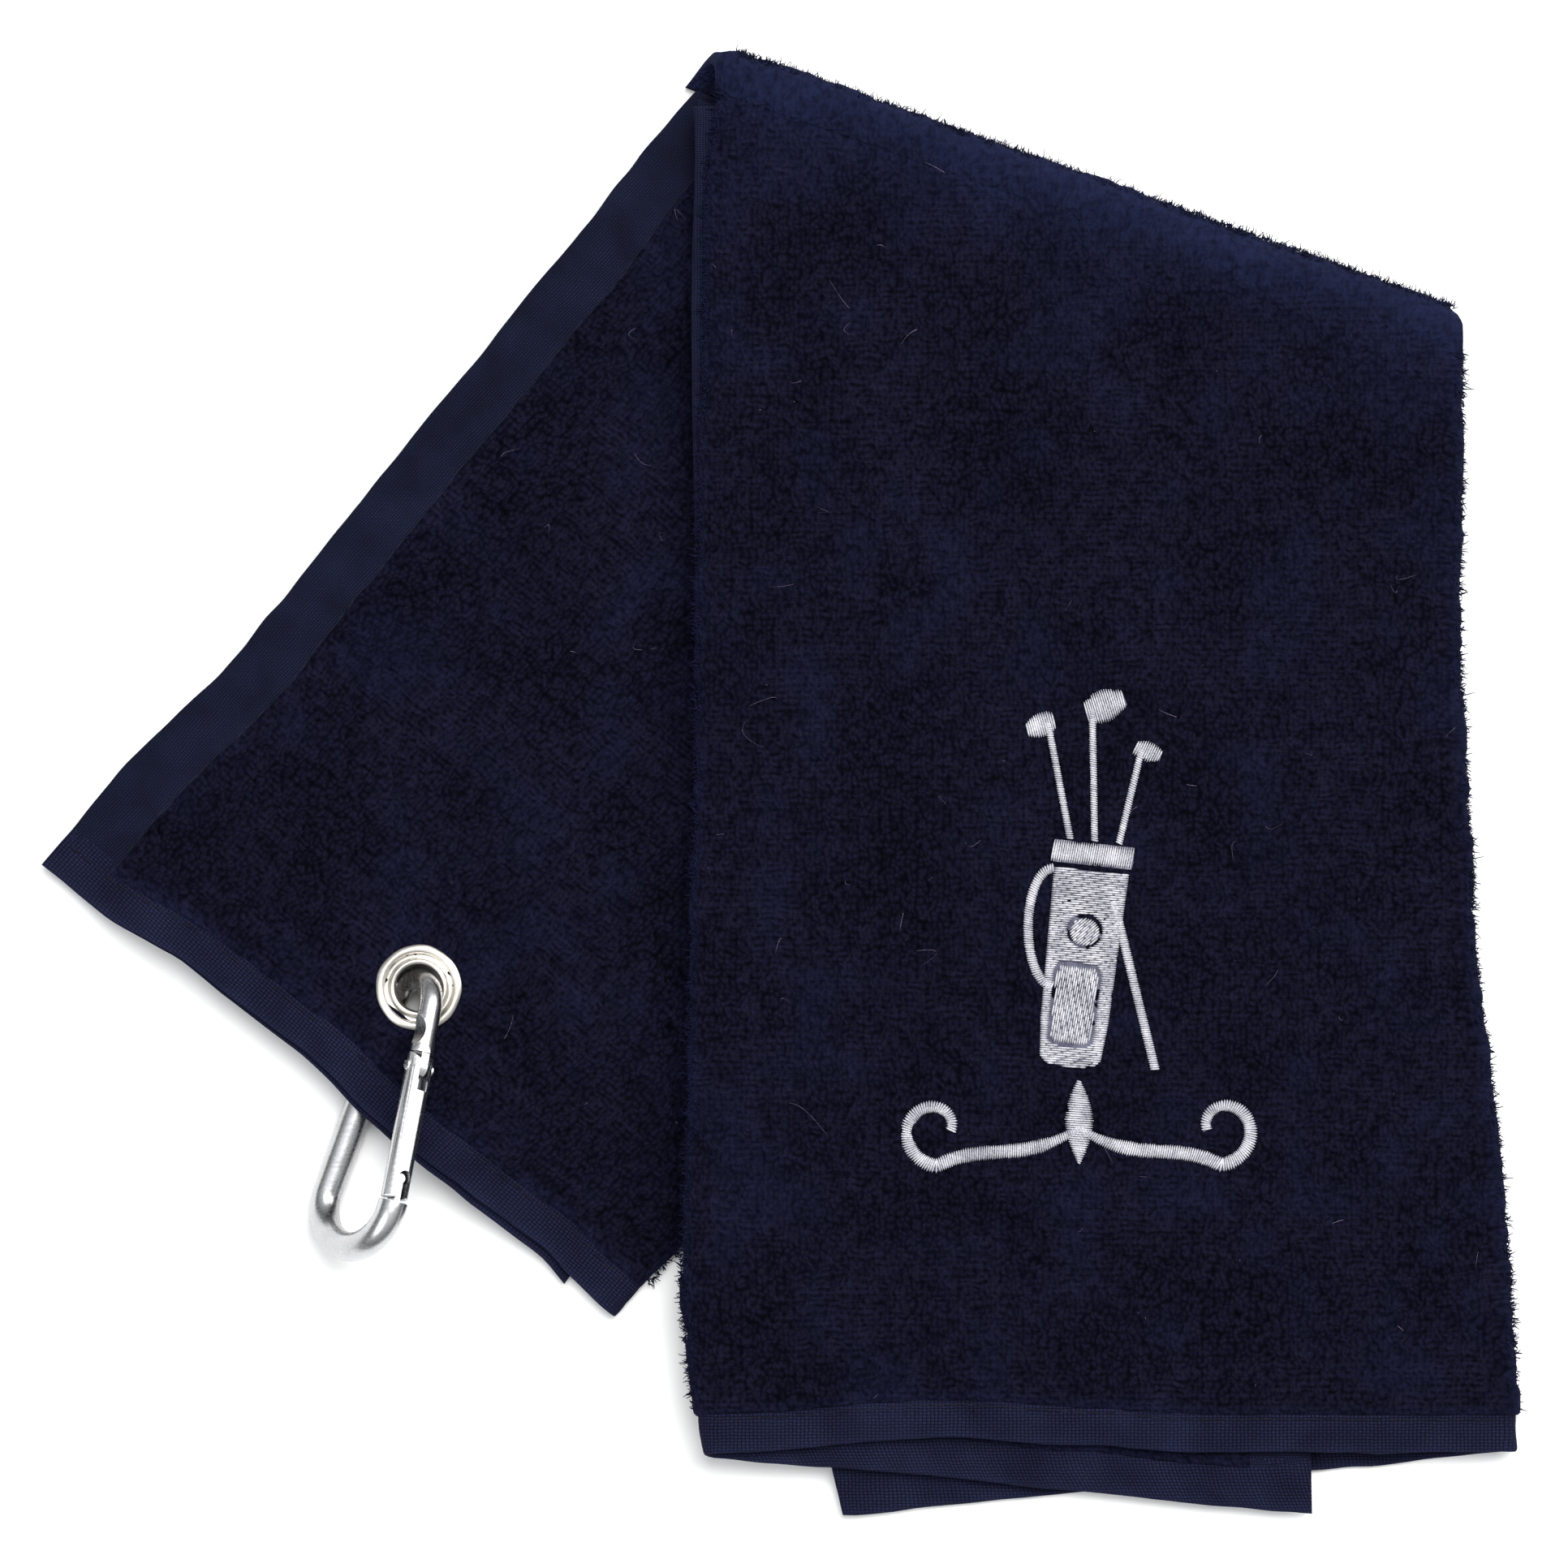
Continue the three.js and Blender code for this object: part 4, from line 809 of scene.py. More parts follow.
def threads(name, starts, stops, radius, arch, body, material, sides=6, steps=6, flatten=0.8):
    """Many short stitches in one mesh. Each rises from its start and dives at its stop."""
    starts, stops = np.asarray(starts, float), np.asarray(stops, float)
    n = len(starts)
    radius = np.broadcast_to(radius, n)[:, None, None, None]
    t = np.linspace(0, 1, steps + 1)
    rise = np.sin(math.pi * t) ** 0.5
    along_path = lerp(starts[:, None], stops[:, None], t[None, :, None])
    along_path[..., 2] += (np.broadcast_to(arch, n)[:, None]) * rise
    way = stops - starts
    way /= np.linalg.norm(way, axis=1)[:, None]
    side = np.cross(way, [0, 0, 1])
    side /= np.linalg.norm(side, axis=1)[:, None]
    up = np.cross(side, way)
    angle = np.linspace(0, 2 * math.pi, sides, endpoint=False)
    full = (0.3 + 0.7 * np.sin(math.pi * t) ** 0.4)[None, :, None, None]
    ring = (side[:, None, None] * np.cos(angle)[None, None, :, None]
            + up[:, None, None] * flatten * np.sin(angle)[None, None, :, None])
    points = (along_path[:, :, None] + ring * full * radius).reshape(-1, 3)
    faces = tube_sides(n, steps, sides)[:, ::-1].tolist()
    for b in range(n):
        start = b * (steps + 1) * sides
        faces.append(list(range(start, start + sides)))
        faces.append(list(range(start + steps * sides, start + (steps + 1) * sides))[::-1])
    return make_object(name, points, faces, material, body)


def top_of(half, x, y):
    z, thick = layer(half, 2, x, y)
    return z + thick / 2


def run_of_stitches(points, length, gap):
    """Starts and stops of stitches along a path."""
    steps = np.linalg.norm(np.diff(points, axis=0), axis=1)
    reach = np.concatenate([[0], np.cumsum(steps)])
    begin = np.arange(0.5, reach[-1] - length - 0.5, length + gap)
    return [np.stack([np.interp(s, reach, points[:, k]) for k in range(3)], -1)
            for s in (begin, begin + length)]


def hem_run(half, layer_name, inset):
    r = np.array([0.0])
    left, right, share = half.row(r, END_HEM_WIDTH - inset, 0)
    t = np.linspace(0.004, 0.996, 80)
    kinds = np.array([layer_name] * len(t))
    centre, _, thick, *_ = section(half, left, right, share, (kinds, t))
    points = centre[0]
    points[:, 2] += thick[0] / 2 * 0.5 + 0.02
    return points


STITCH, STITCH_SPACE = 2.7, 0.5
for name, half, layer_name, node, body in (
        ("front_hem_stitching", front, "middle", "front_end_hem_thread", "front_half"),
        ("rear_hem_stitching", rear, "right", "rear_end_hem_thread", "rear_half")):
    a, b = run_of_stitches(hem_run(half, layer_name, 1.2), STITCH, STITCH_SPACE)
    jitter = rng.normal(0, 0.05, a.shape)
    piece = threads(name, a + jitter, b + jitter, 0.17, 0.10, body, "hem_thread")
    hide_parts(node)

r = np.linspace(0.01, 0.985, 90)
left, right, share = rear.row(r, None, pile_end)
side_centre, _, side_thick, *_ = section(
    rear, left, right, share, (np.array(["right"]), np.array([1.0])),
    free=SIDE_HEM_WIDTH - 1.2 - side_tuck * 0.4)
side_path = side_centre[:, 0]
side_path[:, 2] += side_thick[:, 0] / 2 * 0.5 + 0.05
a, b = run_of_stitches(side_path, STITCH, STITCH_SPACE)
side_stitches = threads("rear_side_stitching", a, b, 0.15, 0.06, "rear_half", "hem_thread")
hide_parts("rear_side_hem_thread")

# ---- Embroidery ----------------------------------------------------------------------------
DESIGN_INSET, DESIGN_RISE = 11.8, 135.1
design = peak - np.array([-DESIGN_INSET, FRONT_LENGTH - DESIGN_RISE])
THREAD_PITCH = 0.46
LIFT = 0.42
DIVE = 0.22
# Depth and thickness of the plates of painted shade under the stitches.
STITCH_SHADOW_DEPTH, STITCH_SHADOW_THICKNESS = 0.25, 0.5


def place(points):
    points = np.asarray(points, float) + design
    return np.column_stack([points, top_of(front, points[:, 0], points[:, 1]) + LIFT])


def resample(path, spacing, *values):
    path = np.asarray(path, float)
    reach = np.concatenate([[0], np.cumsum(np.linalg.norm(np.diff(path, axis=0), axis=1))])
    s = np.arange(0, reach[-1], spacing)
    out = np.stack([np.interp(s, reach, path[:, k]) for k in (0, 1)], -1)
    return [out] + [np.interp(s, reach, v) for v in values]


def satin(path, widths):
    """Stitches side by side across a path."""
    points, width = resample(path, THREAD_PITCH, np.broadcast_to(widths, len(path)))
    way = np.gradient(points, axis=0)
    way /= np.linalg.norm(way, axis=1)[:, None]
    across = np.column_stack([-way[:, 1], way[:, 0]])
    lean = way * 0.18
    ragged = 1 + rng.normal(0, 0.03, len(points))
    offset = (across * (width * ragged / 2)[:, None])
    return points - offset - lean, points + offset + lean


def spans(polygon, angle, spacing):
    """Rows of a polygon's filling: start and stop of each run of thread, at an angle."""
    turn = np.array([[math.cos(angle), math.sin(angle)], [-math.sin(angle), math.cos(angle)]])
    p = np.asarray(polygon, float) @ turn.T
    q = np.roll(p, -1, axis=0)
    rows = []
    for y in np.arange(p[:, 1].min() + spacing / 2, p[:, 1].max(), spacing):
        hit = (p[:, 1] <= y) != (q[:, 1] <= y)
        x = np.sort(p[hit, 0] + (y - p[hit, 1]) * (q[hit, 0] - p[hit, 0])
                    / (q[hit, 1] - p[hit, 1]))
        rows.append((y, [tuple(x[k:k + 2]) for k in range(0, len(x) - 1, 2)]))
    return rows, turn


def fill(polygon, angle=0.0, holes=(), stitch=3.6):
    """Rows of staggered stitches over a polygon, leaving its holes bare."""
    rows, turn = spans(polygon, angle, THREAD_PITCH)
    bare = [dict((round(y, 4), parts) for y, parts in spans(hole, angle, THREAD_PITCH)[0])
            for hole in holes]
    starts, stops = [], []
    for k, (y, parts) in enumerate(rows):
        cuts = []
        for table in bare:
            near = [parts_h for y_h, parts_h in table.items() if abs(y_h - y) < THREAD_PITCH / 2]
            cuts += near[0] if near else []
        for low, high in parts:
            pieces = [(low, high)]
            for c0, c1 in cuts:
                pieces = [part for x0, x1 in pieces for part in ((x0, min(x1, c0)),
                                                                 (max(x0, c1), x1))
                          if part[1] - part[0] > 0.5]
            for x0, x1 in pieces:
                first = x0 + stitch * ((k * 0.37) % 1)
                marks = [x0] + [m for m in np.arange(first, x1, stitch)
                                if x0 + 0.7 < m < x1 - 0.7] + [x1]
                for m0, m1 in zip(marks[:-1], marks[1:]):
                    starts.append((m0 - 0.1, y))
                    stops.append((m1 + 0.1, y))
    starts = np.array(starts) @ turn
    stops = np.array(stops) @ turn
    return starts, stops


def ribbon_polygon(path, widths):
    path = np.asarray(path, float)
    widths = np.broadcast_to(widths, len(path))
    way = np.gradient(path, axis=0)
    way /= np.linalg.norm(way, axis=1)[:, None]
    across = np.column_stack([-way[:, 1], way[:, 0]]) * (widths / 2)[:, None]
    return np.concatenate([path + across, (path - across)[::-1]])


def stitch_shadow_plates(outlines):
    """Thin plates just under the stitches, in a darker grey: painted shade that shows between the
    threads.
    """
    points, faces = [], []
    for outline in outlines:
        flat = np.asarray(outline, float)
        if (np.cross(flat - flat.mean(0), np.roll(flat, -1, 0) - flat.mean(0))).sum() < 0:
            flat = flat[::-1]
        n, base = len(flat), len(points)
        top = place(flat)
        top[:, 2] -= STITCH_SHADOW_DEPTH
        low = top.copy()
        low[:, 2] -= STITCH_SHADOW_THICKNESS
        points += top.tolist() + low.tolist()
        faces.append([base + i for i in range(n)])
        faces.append([base + n + i for i in range(n)][::-1])
        faces += [[base + (i + 1) % n, base + i, base + n + i, base + n + (i + 1) % n]
                  for i in range(n)]
    return points, faces


def embroider(name, runs, shadow_outlines, node):
    starts = np.concatenate([r[0] for r in runs])
    stops = np.concatenate([r[1] for r in runs])
    a, b = place(starts), place(stops)
    lift = rng.normal(0, 0.035, len(a))
    a[:, 2] += lift - DIVE
    b[:, 2] += lift - DIVE
    piece = threads(name, a, b, THREAD_PITCH * 0.46 * (1 + rng.normal(0, 0.07, len(a))),
                    0.34 + rng.normal(0, 0.03, len(a)), "front_half", "embroidery_thread",
                    flatten=0.9)
    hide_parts(node)
    # Plates under the stitches, darker than the thread: painted shade between the threads.
    points, faces = stitch_shadow_plates(shadow_outlines)
    shadow_plate = make_object(name + "_stitch_shadow", points, faces, "stitch_shadow_thread", "front_half",
                      flat=len(faces))
    return piece, shadow_plate


foot, mouth = np.array([58.0, -57.0]), np.array([63.0, -12.0])
bag_axis = mouth - foot
bag_side = np.array([bag_axis[1], -bag_axis[0]]) / np.linalg.norm(bag_axis)


def on_bag(pairs):
    """Places on the bag: share of its height, and mm to the right of its middle."""
    return np.array([foot + bag_axis * s + bag_side * w for s, w in pairs])


body_outline = on_bag([(0.03, -6.2), (0.0, -4.9), (-0.012, 0), (0.0, 4.9), (0.03, 6.2),
                       (0.2, 6.9), (0.5, 7.2), (0.875, 7.6), (0.875, -7.6), (0.5, -7.2),
                       (0.2, -6.9)])
collar = on_bag([(0.90, -8.0), (0.90, 8.0), (0.93, 8.3), (1.0, 8.1), (1.0, -8.1), (0.93, -8.3)])
pocket = on_bag([(0.12, -4.6), (0.095, -3.6), (0.095, 2.6), (0.12, 3.6), (0.40, 3.9),
                 (0.44, 3.0), (0.44, -4.0), (0.40, -4.8)])
pocket_gap = on_bag([(0.105, -5.2), (0.078, -3.8), (0.078, 2.9), (0.105, 4.2), (0.41, 4.5),
                     (0.457, 3.3), (0.457, -4.4), (0.41, -5.4)])
badge = on_bag([(0.60 + 0.062 * math.sin(t), 3.0 * math.cos(t)) for t in
                np.linspace(0, 2 * math.pi, 17)[:-1]])
badge_gap = on_bag([(0.60 + 0.078 * math.sin(t), 3.7 * math.cos(t)) for t in
                    np.linspace(0, 2 * math.pi, 17)[:-1]])
swing = np.linspace(0.5, 1.5, 15) * math.pi
strap = np.column_stack([54.5 + 5 * np.cos(swing), -29 + 12 * np.sin(swing)])
leg = np.array([[67.0, -24.0], [75.5, -58.0]])


def club(mouth_shift, tip, angle, reach, width):
    start = mouth + np.array([1, -0.1]) * mouth_shift + [0, 0.6]
    way = np.array([math.cos(angle), math.sin(angle)])
    t = np.linspace(0, 1, 9)
    head = np.asarray(tip) + np.outer(lerp(-1.2, reach, t), way)
    swell = 0.42 + 0.58 * np.sin(math.pi * (0.15 + 0.8 * t))
    return np.array([start, tip]), head, width * swell


clubs = [club(-5, (53.5, 12.5), math.radians(200), 4.5, 5.0),
         club(0, (62.5, 15.0), math.radians(20), 7.0, 6.5),
         club(5, (72.5, 7.0), math.radians(-20), 4.2, 4.2)]
runs = [fill(body_outline, math.radians(-4), holes=[pocket_gap, badge_gap]),
        fill(pocket, math.radians(80)), fill(badge, math.radians(40)),
        satin(on_bag([(0.95, -8.2), (0.95, 8.2)]), 4.4), satin(strap, 2.0), satin(leg, 1.9)]
shadow_outlines = [body_outline, collar, ribbon_polygon(strap, 1.7), ribbon_polygon(leg, 1.6)]
for shaft, head, widths in clubs:
    runs += [satin(shaft, 1.5), satin(head, widths)]
    shadow_outlines += [ribbon_polygon(shaft, 1.2), ribbon_polygon(head, widths * 0.85)]
bag_piece, bag_shadow_plate = embroider("embroidered_bag", runs, shadow_outlines, "embroidered_golf_bag")

SCROLL = np.array([60.0, -70.0])
REACH, CURL = 29.0, 7.5


def scroll_arm(side):
    t = np.linspace(0, 1, 30)
    wave = np.column_stack([REACH * t, -5.5 * np.sin(math.pi * t) * (1 - t) - CURL * t ** 2])
    k = np.linspace(0, 1, 50)[1:]
    turn = -math.pi / 2 + 1.55 * math.pi * k
    radius = CURL * (1 - 0.62 * k)
    curl = np.column_stack([REACH + radius * np.cos(turn), radius * np.sin(turn)])
    path = np.concatenate([wave, curl]) * [side, 1] + SCROLL
    width = np.concatenate([lerp(1.6, 2.9, smooth(t, 0, 0.35)), lerp(2.9, 2.1, k)])
    return path, width


leaf = np.column_stack([np.full(21, SCROLL[0]), SCROLL[1] + np.linspace(-7, 10, 21)])
leaf_width = 0.7 + 5.0 * np.sin(math.pi * np.linspace(0, 1, 21))
runs, shadow_outlines = [satin(leaf, leaf_width)], [ribbon_polygon(leaf, leaf_width * 0.85)]
for side in (1, -1):
    path, width = scroll_arm(side)
    runs.append(satin(path, width))
    for k in range(0, len(path) - 6, 6):
        shadow_outlines.append(ribbon_polygon(path[k:k + 8], width[k:k + 8] * 0.8))
scroll_piece, scroll_shadow_plate = embroider("embroidered_flourish", runs, shadow_outlines, "embroidered_scroll")


# ---- Loose fibres --------------------------------------------------------------------------
def fibres(name, roots, ways, lengths, radius, curl, body, material, segments=4):
    """Fine hairs as thin three-sided tubes, each with its own bend."""
    n = len(roots)
    t = np.linspace(0, 1, segments + 1)[None, :, None]
    ways = ways / np.linalg.norm(ways, axis=1)[:, None]
    bend = rng.normal(0, 1, (n, 3))
    bend[:, 2] = -np.abs(bend[:, 2]) * 0.4
    twist = rng.normal(0, 1, (n, 3))
    path = (roots[:, None] + (ways * lengths[:, None])[:, None] * t
            + (bend * (lengths * curl)[:, None])[:, None] * t ** 2
            + (twist * (lengths * curl * 0.4)[:, None])[:, None] * np.sin(math.pi * t))
    side = np.cross(ways, rng.normal(0, 1, (n, 3)))
    side /= np.linalg.norm(side, axis=1)[:, None]
    up = np.cross(side, ways)
    angle = np.arange(3) * 2 * math.pi / 3
    ring = (side[:, None, None] * np.cos(angle)[None, None, :, None]
            + up[:, None, None] * np.sin(angle)[None, None, :, None])
    taper = (1 - 0.6 * t)[..., None]
    points = (path[:, :, None] + ring * radius * taper).reshape(-1, 3)
    quads = tube_sides(n, segments, 3).tolist()
    first = np.arange(n)[:, None] * (segments + 1) * 3
    caps = np.concatenate([first + [2, 1, 0], first + segments * 3 + [0, 1, 2]]).tolist()
    return make_object(name, points, quads + caps, material, body)


FIBRE_MARGIN = 3


def scatter(half, n, left_margin):
    """Roots over the visible pile of a half, clear of its edges and of the grommet."""
    r, t = rng.uniform(0.0, 0.995, n), rng.uniform(0, 1, n)
    left, right, _ = half.row(r, None, pile_end)
    width = np.linalg.norm(right - left, axis=1)
    across = lerp(left_margin / width, 1 - FIBRE_MARGIN / width, t)
    plan = left + (right - left) * across[:, None]
    if half is rear:
        plan = plan[np.hypot(*(plan - grommet).T) > FLANGE_RADIUS + 0.5]
    return np.column_stack([plan, top_of(half, plan[:, 0], plan[:, 1])])


def flat_ways(n, steep):
    angle = rng.uniform(0, 2 * math.pi, n)
    return np.column_stack([np.cos(angle), np.sin(angle), rng.uniform(*steep, n)])


for half_name, half, body, margin, fuzz_count, lint_count in (
        ("front", front, "front_half", FIBRE_MARGIN, 3600, 60),
        ("rear", rear, "rear_half", SIDE_HEM_WIDTH + 2, 1800, 34)):
    roots = scatter(half, fuzz_count, margin)
    roots[:, 2] -= 0.1
    fibres(
        f"{half_name}_pile_fuzz", roots, flat_ways(len(roots), (0.3, 1.2)),
        rng.uniform(0.7, 1.6, len(roots)), 0.045, 0.5, body, "fuzz")
    roots = scatter(half, lint_count, margin)
    roots[:, 2] += 0.35
    fibres(
        f"{half_name}_lint", roots, flat_ways(len(roots), (0.0, 0.25)),
        rng.uniform(1.2, 4.2, len(roots)), 0.05, 0.75, body, "lint", segments=7)


def edge_fuzz(name, half, kinds, body, n, low=0.0):
    r = np.sort(rng.uniform(low, 0.995, n))
    left, right, share = half.row(r, None, pile_end)
    chosen = rng.integers(0, len(kinds), n)
    at = np.linspace(0.2, 0.7, 6)
    pick = rng.integers(0, len(at), n)
    places = [section(half, left, right, share, (np.array([kind] * len(at)), at))
              for kind in kinds]
    rows = np.arange(n)
    centre = np.stack([p[0] for p in places])[chosen, rows, pick]
    normal = np.stack([p[1] for p in places])[chosen, rows, pick]
    roots = centre + normal * PILE / 2
    ways = normal + rng.normal(0, 0.5, (n, 3))
    return fibres(name, roots, ways, rng.uniform(0.5, 1.35, n), 0.2, 0.4, body, "fuzz")


edge_fuzz("front_edge_fuzz", front, ("left_turn", "right_turn"),
                              "front_half", 5200)
edge_fuzz("rear_edge_fuzz", rear, ("right_turn",), "rear_half", 900, 0.3)

n = 3600
a = rng.uniform(2, CREASE_LENGTH - 1, n)
swing = rng.uniform(-0.5, 0.5, n)
out = np.column_stack([-crease_in[0] * np.cos(swing), -crease_in[1] * np.cos(swing),
                       np.sin(swing)])
roots = np.column_stack([fold_axis + a[:, None] * crease_dir, np.full(n, FOLD_RADIUS)])
roots = roots + out * (FOLD_RADIUS + 0.8 * np.cos(swing) - 0.1)[:, None]
crease_fuzz = fibres("crease_fuzz", roots, out + rng.normal(0, 0.5, (n, 3)),
                     rng.uniform(0.4, 1.2, n), 0.16, 0.4, None, "fuzz")
blend_over_crease(crease_fuzz)

# Pile ends that hang over the end hem.
r = np.ones(1)
left, right, share = front.row(r, None, pile_end)
n = 620
t = rng.uniform(0.02, 0.98, n)
plan = left + (right - left) * t[:, None]
roots = np.column_stack([plan, top_of(front, plan[:, 0], plan[:, 1]) - rng.uniform(0.4, 1.4, n)])
ways = np.column_stack([rng.normal(0, 0.5, n), -np.ones(n), rng.normal(-0.1, 0.4, n)])
pile_ends = fibres("front_pile_ends", roots, ways, rng.uniform(0.5, 1.3, n), 0.07, 0.4,
                   "front_half", "fuzz")


# ---- Grommet -------------------------------------------------------------------------------
def lathe(name, profile, material, body, segments=96, wobble=0.0):
    """Closed profile of (radius, height) turned round the grommet's axis."""
    profile = np.asarray(profile, float)
    angle = np.linspace(0, 2 * math.pi, segments, endpoint=False)
    wave = wobble * (np.sin(5 * angle + 0.4) + 0.6 * np.sin(9 * angle + 2.0))
    rim = smooth(profile[:, 0], FLANGE_RADIUS - 1.6, FLANGE_RADIUS)
    radius = profile[None, :, 0] + wave[:, None] * rim[None, :]
    points = np.stack([grommet[0] + radius * np.cos(angle)[:, None],
                       grommet[1] + radius * np.sin(angle)[:, None],
                       np.broadcast_to(profile[:, 1], radius.shape)], -1).reshape(-1, 3)
    m = len(profile)
    i = np.arange(segments)[:, None] * m
    i2 = (np.arange(segments)[:, None] + 1) % segments * m
    k, k2 = np.arange(m)[None, :], (np.arange(m)[None, :] + 1) % m
    faces = np.stack([i + k, i2 + k, i2 + k2, i + k2], -1).reshape(-1, 4)
    area = sum(profile[j, 0] * profile[(j + 1) % m, 1] - profile[(j + 1) % m, 0] * profile[j, 1]
               for j in range(m))
    if area < 0:
        faces = faces[:, ::-1]
    return make_object(name, points, faces, material, body)


def arc(centre_r, centre_z, radius, start, stop, steps=7, squash=1.0):
    swing = np.radians(np.linspace(start, stop, steps))
    return [(centre_r + radius * math.cos(s), centre_z + squash * radius * math.sin(s))
            for s in swing]


# The eyelet: up the hole, over its lip, along the groove and bead to the rim, and back below.
LIP_RADIUS, CURL_RADIUS, BARREL_WALL = 0.6, 0.35, 0.8
bottom, top = (corner.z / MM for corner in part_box("grommet_eyelet"))
profile = ([(HOLE_RADIUS, bottom + CURL_RADIUS), (HOLE_RADIUS, top - LIP_RADIUS)]
           + arc(HOLE_RADIUS + LIP_RADIUS, top - LIP_RADIUS, LIP_RADIUS, 170, 20, 8)
           + [(HOLE_RADIUS + 1.32, top - 0.62), (HOLE_RADIUS + 1.7, top - 0.68),
              (HOLE_RADIUS + 2.15, top - 0.58)]
           + arc(HOLE_RADIUS + 3.05, top - 0.44, 0.72, 165, 40, 7, 0.6)
           + arc(FLANGE_RADIUS - 0.28, top - 0.52, 0.28, 60, -90, 6)
           + [(HOLE_RADIUS + BARREL_WALL, top - 0.8), (HOLE_RADIUS + BARREL_WALL, bottom + 0.6),
              (HOLE_RADIUS + 2.3, bottom + 0.6)]
           + arc(HOLE_RADIUS + 2.1, bottom + 0.28, 0.22, 40, -90, 5)
           + arc(HOLE_RADIUS + CURL_RADIUS, bottom + CURL_RADIUS, CURL_RADIUS, -90, -170, 5))
eyelet = lathe("grommet_rim", profile, "nickel_plate", "rear_half", wobble=0.07)
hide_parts("grommet_eyelet")
washer_low, washer_high = (corner.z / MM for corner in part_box("grommet_washer"))
washer = lathe("grommet_back_ring", [
    (HOLE_RADIUS + 0.95, washer_low + 0.1), (HOLE_RADIUS + 1.2, washer_low)]
    + arc(FLANGE_RADIUS - 0.25, washer_low + 0.25, 0.25, -90, 90, 6)
    + [(HOLE_RADIUS + 0.95, washer_high)], "nickel_plate", "rear_half", wobble=0.05)
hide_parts("grommet_washer")

# ---- Carabiner, drawn in its own plane as in the CAD ----------------------------------------
loop_length = CARABINER_LENGTH - NECK_WIRE_RADIUS - WIRE_RADIUS - NECK_BEND - LOOP_END_DEPTH
flare = 0.0
for _ in range(12):
    touch = math.pi / 2 + math.atan(math.tan(flare) * LOOP_END_DEPTH / LOOP_HALF_WIDTH)
    touch_at = (loop_length + LOOP_END_DEPTH * math.cos(touch), LOOP_HALF_WIDTH * math.sin(touch))
    flare = math.atan2(touch_at[1] - NECK_BEND * math.cos(flare),
                       touch_at[0] + NECK_BEND * math.sin(flare))
neck_end = np.array([-NECK_BEND * math.sin(flare), NECK_BEND * math.cos(flare)])
loop_start = np.array(touch_at)
gate_dir = unit(loop_start - neck_end)
gate_pin = neck_end + gate_dir * GATE_PIN_AT
gate_length = np.linalg.norm(loop_start - gate_pin)
gate_across = np.array([-gate_dir[1], gate_dir[0]])
tilt = math.atan(math.tan(flare) * math.sin(ROLL))
heading = np.array([math.cos(HEADING), math.sin(HEADING), 0])
beside = np.array([-heading[1], heading[0], 0])
upright = np.array([0, 0, 1.0])
u_axis = heading * math.cos(tilt) + upright * math.sin(tilt)
v_axis = beside * math.cos(ROLL) + (upright * math.cos(tilt) - heading * math.sin(tilt)) * (
    math.sin(ROLL))
w_axis = np.cross(u_axis, v_axis)
neck_height = WIRE_RADIUS + SPINE_GAP - (u_axis[2] * neck_end[0] - v_axis[2] * neck_end[1])
neck_centre = (np.append(grommet, neck_height) + heading * NECK_OFFSET + beside * NECK_SIDE)


def clip_to_world(points):
    points = np.asarray(points, float)
    return neck_centre + points @ np.array([u_axis, v_axis, w_axis])


def gate_to_clip(points):
    """Gate frame: x along the gate from its pin, y outwards, z along the pin."""
    points = np.asarray(points, float)
    plan = gate_pin + np.outer(points[:, 0], gate_dir) + np.outer(points[:, 1], gate_across)
    return np.column_stack([plan, points[:, 2]])


def tube(path, radii, sides=40, normal=(0, 0, 1)):
    """Points and faces of a round wire along a path in one plane."""
    path = np.asarray(path, float)
    way = np.gradient(path, axis=0)
    way /= np.linalg.norm(way, axis=1)[:, None]
    side = np.cross(way, normal)
    side /= np.linalg.norm(side, axis=1)[:, None]
    up = np.cross(side, way)
    angle = np.linspace(0, 2 * math.pi, sides, endpoint=False)
    points = (path[:, None] + radii[:, None, None] * (
        side[:, None] * np.cos(angle)[None, :, None]
        + up[:, None] * np.sin(angle)[None, :, None])).reshape(-1, 3)
    n = len(path)
    i = np.arange(n - 1)[:, None] * sides
    k = np.arange(sides)[None, :]
    k2 = (k + 1) % sides
    quads = np.stack([i + k, i + sides + k, i + sides + k2, i + k2], -1).reshape(-1, 4)
    faces = quads.tolist() + [list(range(sides)),
                              list(range((n - 1) * sides, n * sides))[::-1]]
    return points, faces


def rod(axis, radius, start, stop, at=(0, 0, 0), sides=40, crown=0.0):
    """Rod along x, y or z in the gate frame, with chamfered or crowned ends."""
    edge = min(0.18, radius * 0.3)
    marks = [start, start + edge, stop - edge, stop]
    radii = [radius - edge, radius, radius, radius - edge]
    if crown:
        marks = [start - crown, start - crown * 0.7] + marks[1:3] + [stop + crown * 0.7,
                                                                    stop + crown]
        radii = [radius * 0.45, radius * 0.8] + radii[1:3] + [radius * 0.8, radius * 0.45]
    path = np.zeros((len(marks), 3)) + np.asarray(at, float)
    path[:, "xyz".index(axis)] += marks
    normal = (0, 0, 1) if axis != "z" else (1, 0, 0)
    return tube(path, np.array(radii), sides, normal)


def block(x0, x1, y0, y1, z0, z1):
    points = [(x, y, z) for x in (x0, x1) for y in (y0, y1) for z in (z0, z1)]
    faces = [[0, 1, 3, 2], [4, 6, 7, 5], [0, 4, 5, 1], [2, 3, 7, 6], [0, 2, 6, 4], [1, 5, 7, 3]]
    return np.array(points), faces


def outward(points, faces):
    """Faces turned so that the solid faces out."""
    points = np.asarray(points)
    volume = 0.0
    for face in faces:
        p = points[list(face)]
        for k in range(1, len(face) - 1):
            volume += np.dot(p[0], np.cross(p[k], p[k + 1]))
    return faces if volume > 0 else [list(face)[::-1] for face in faces]


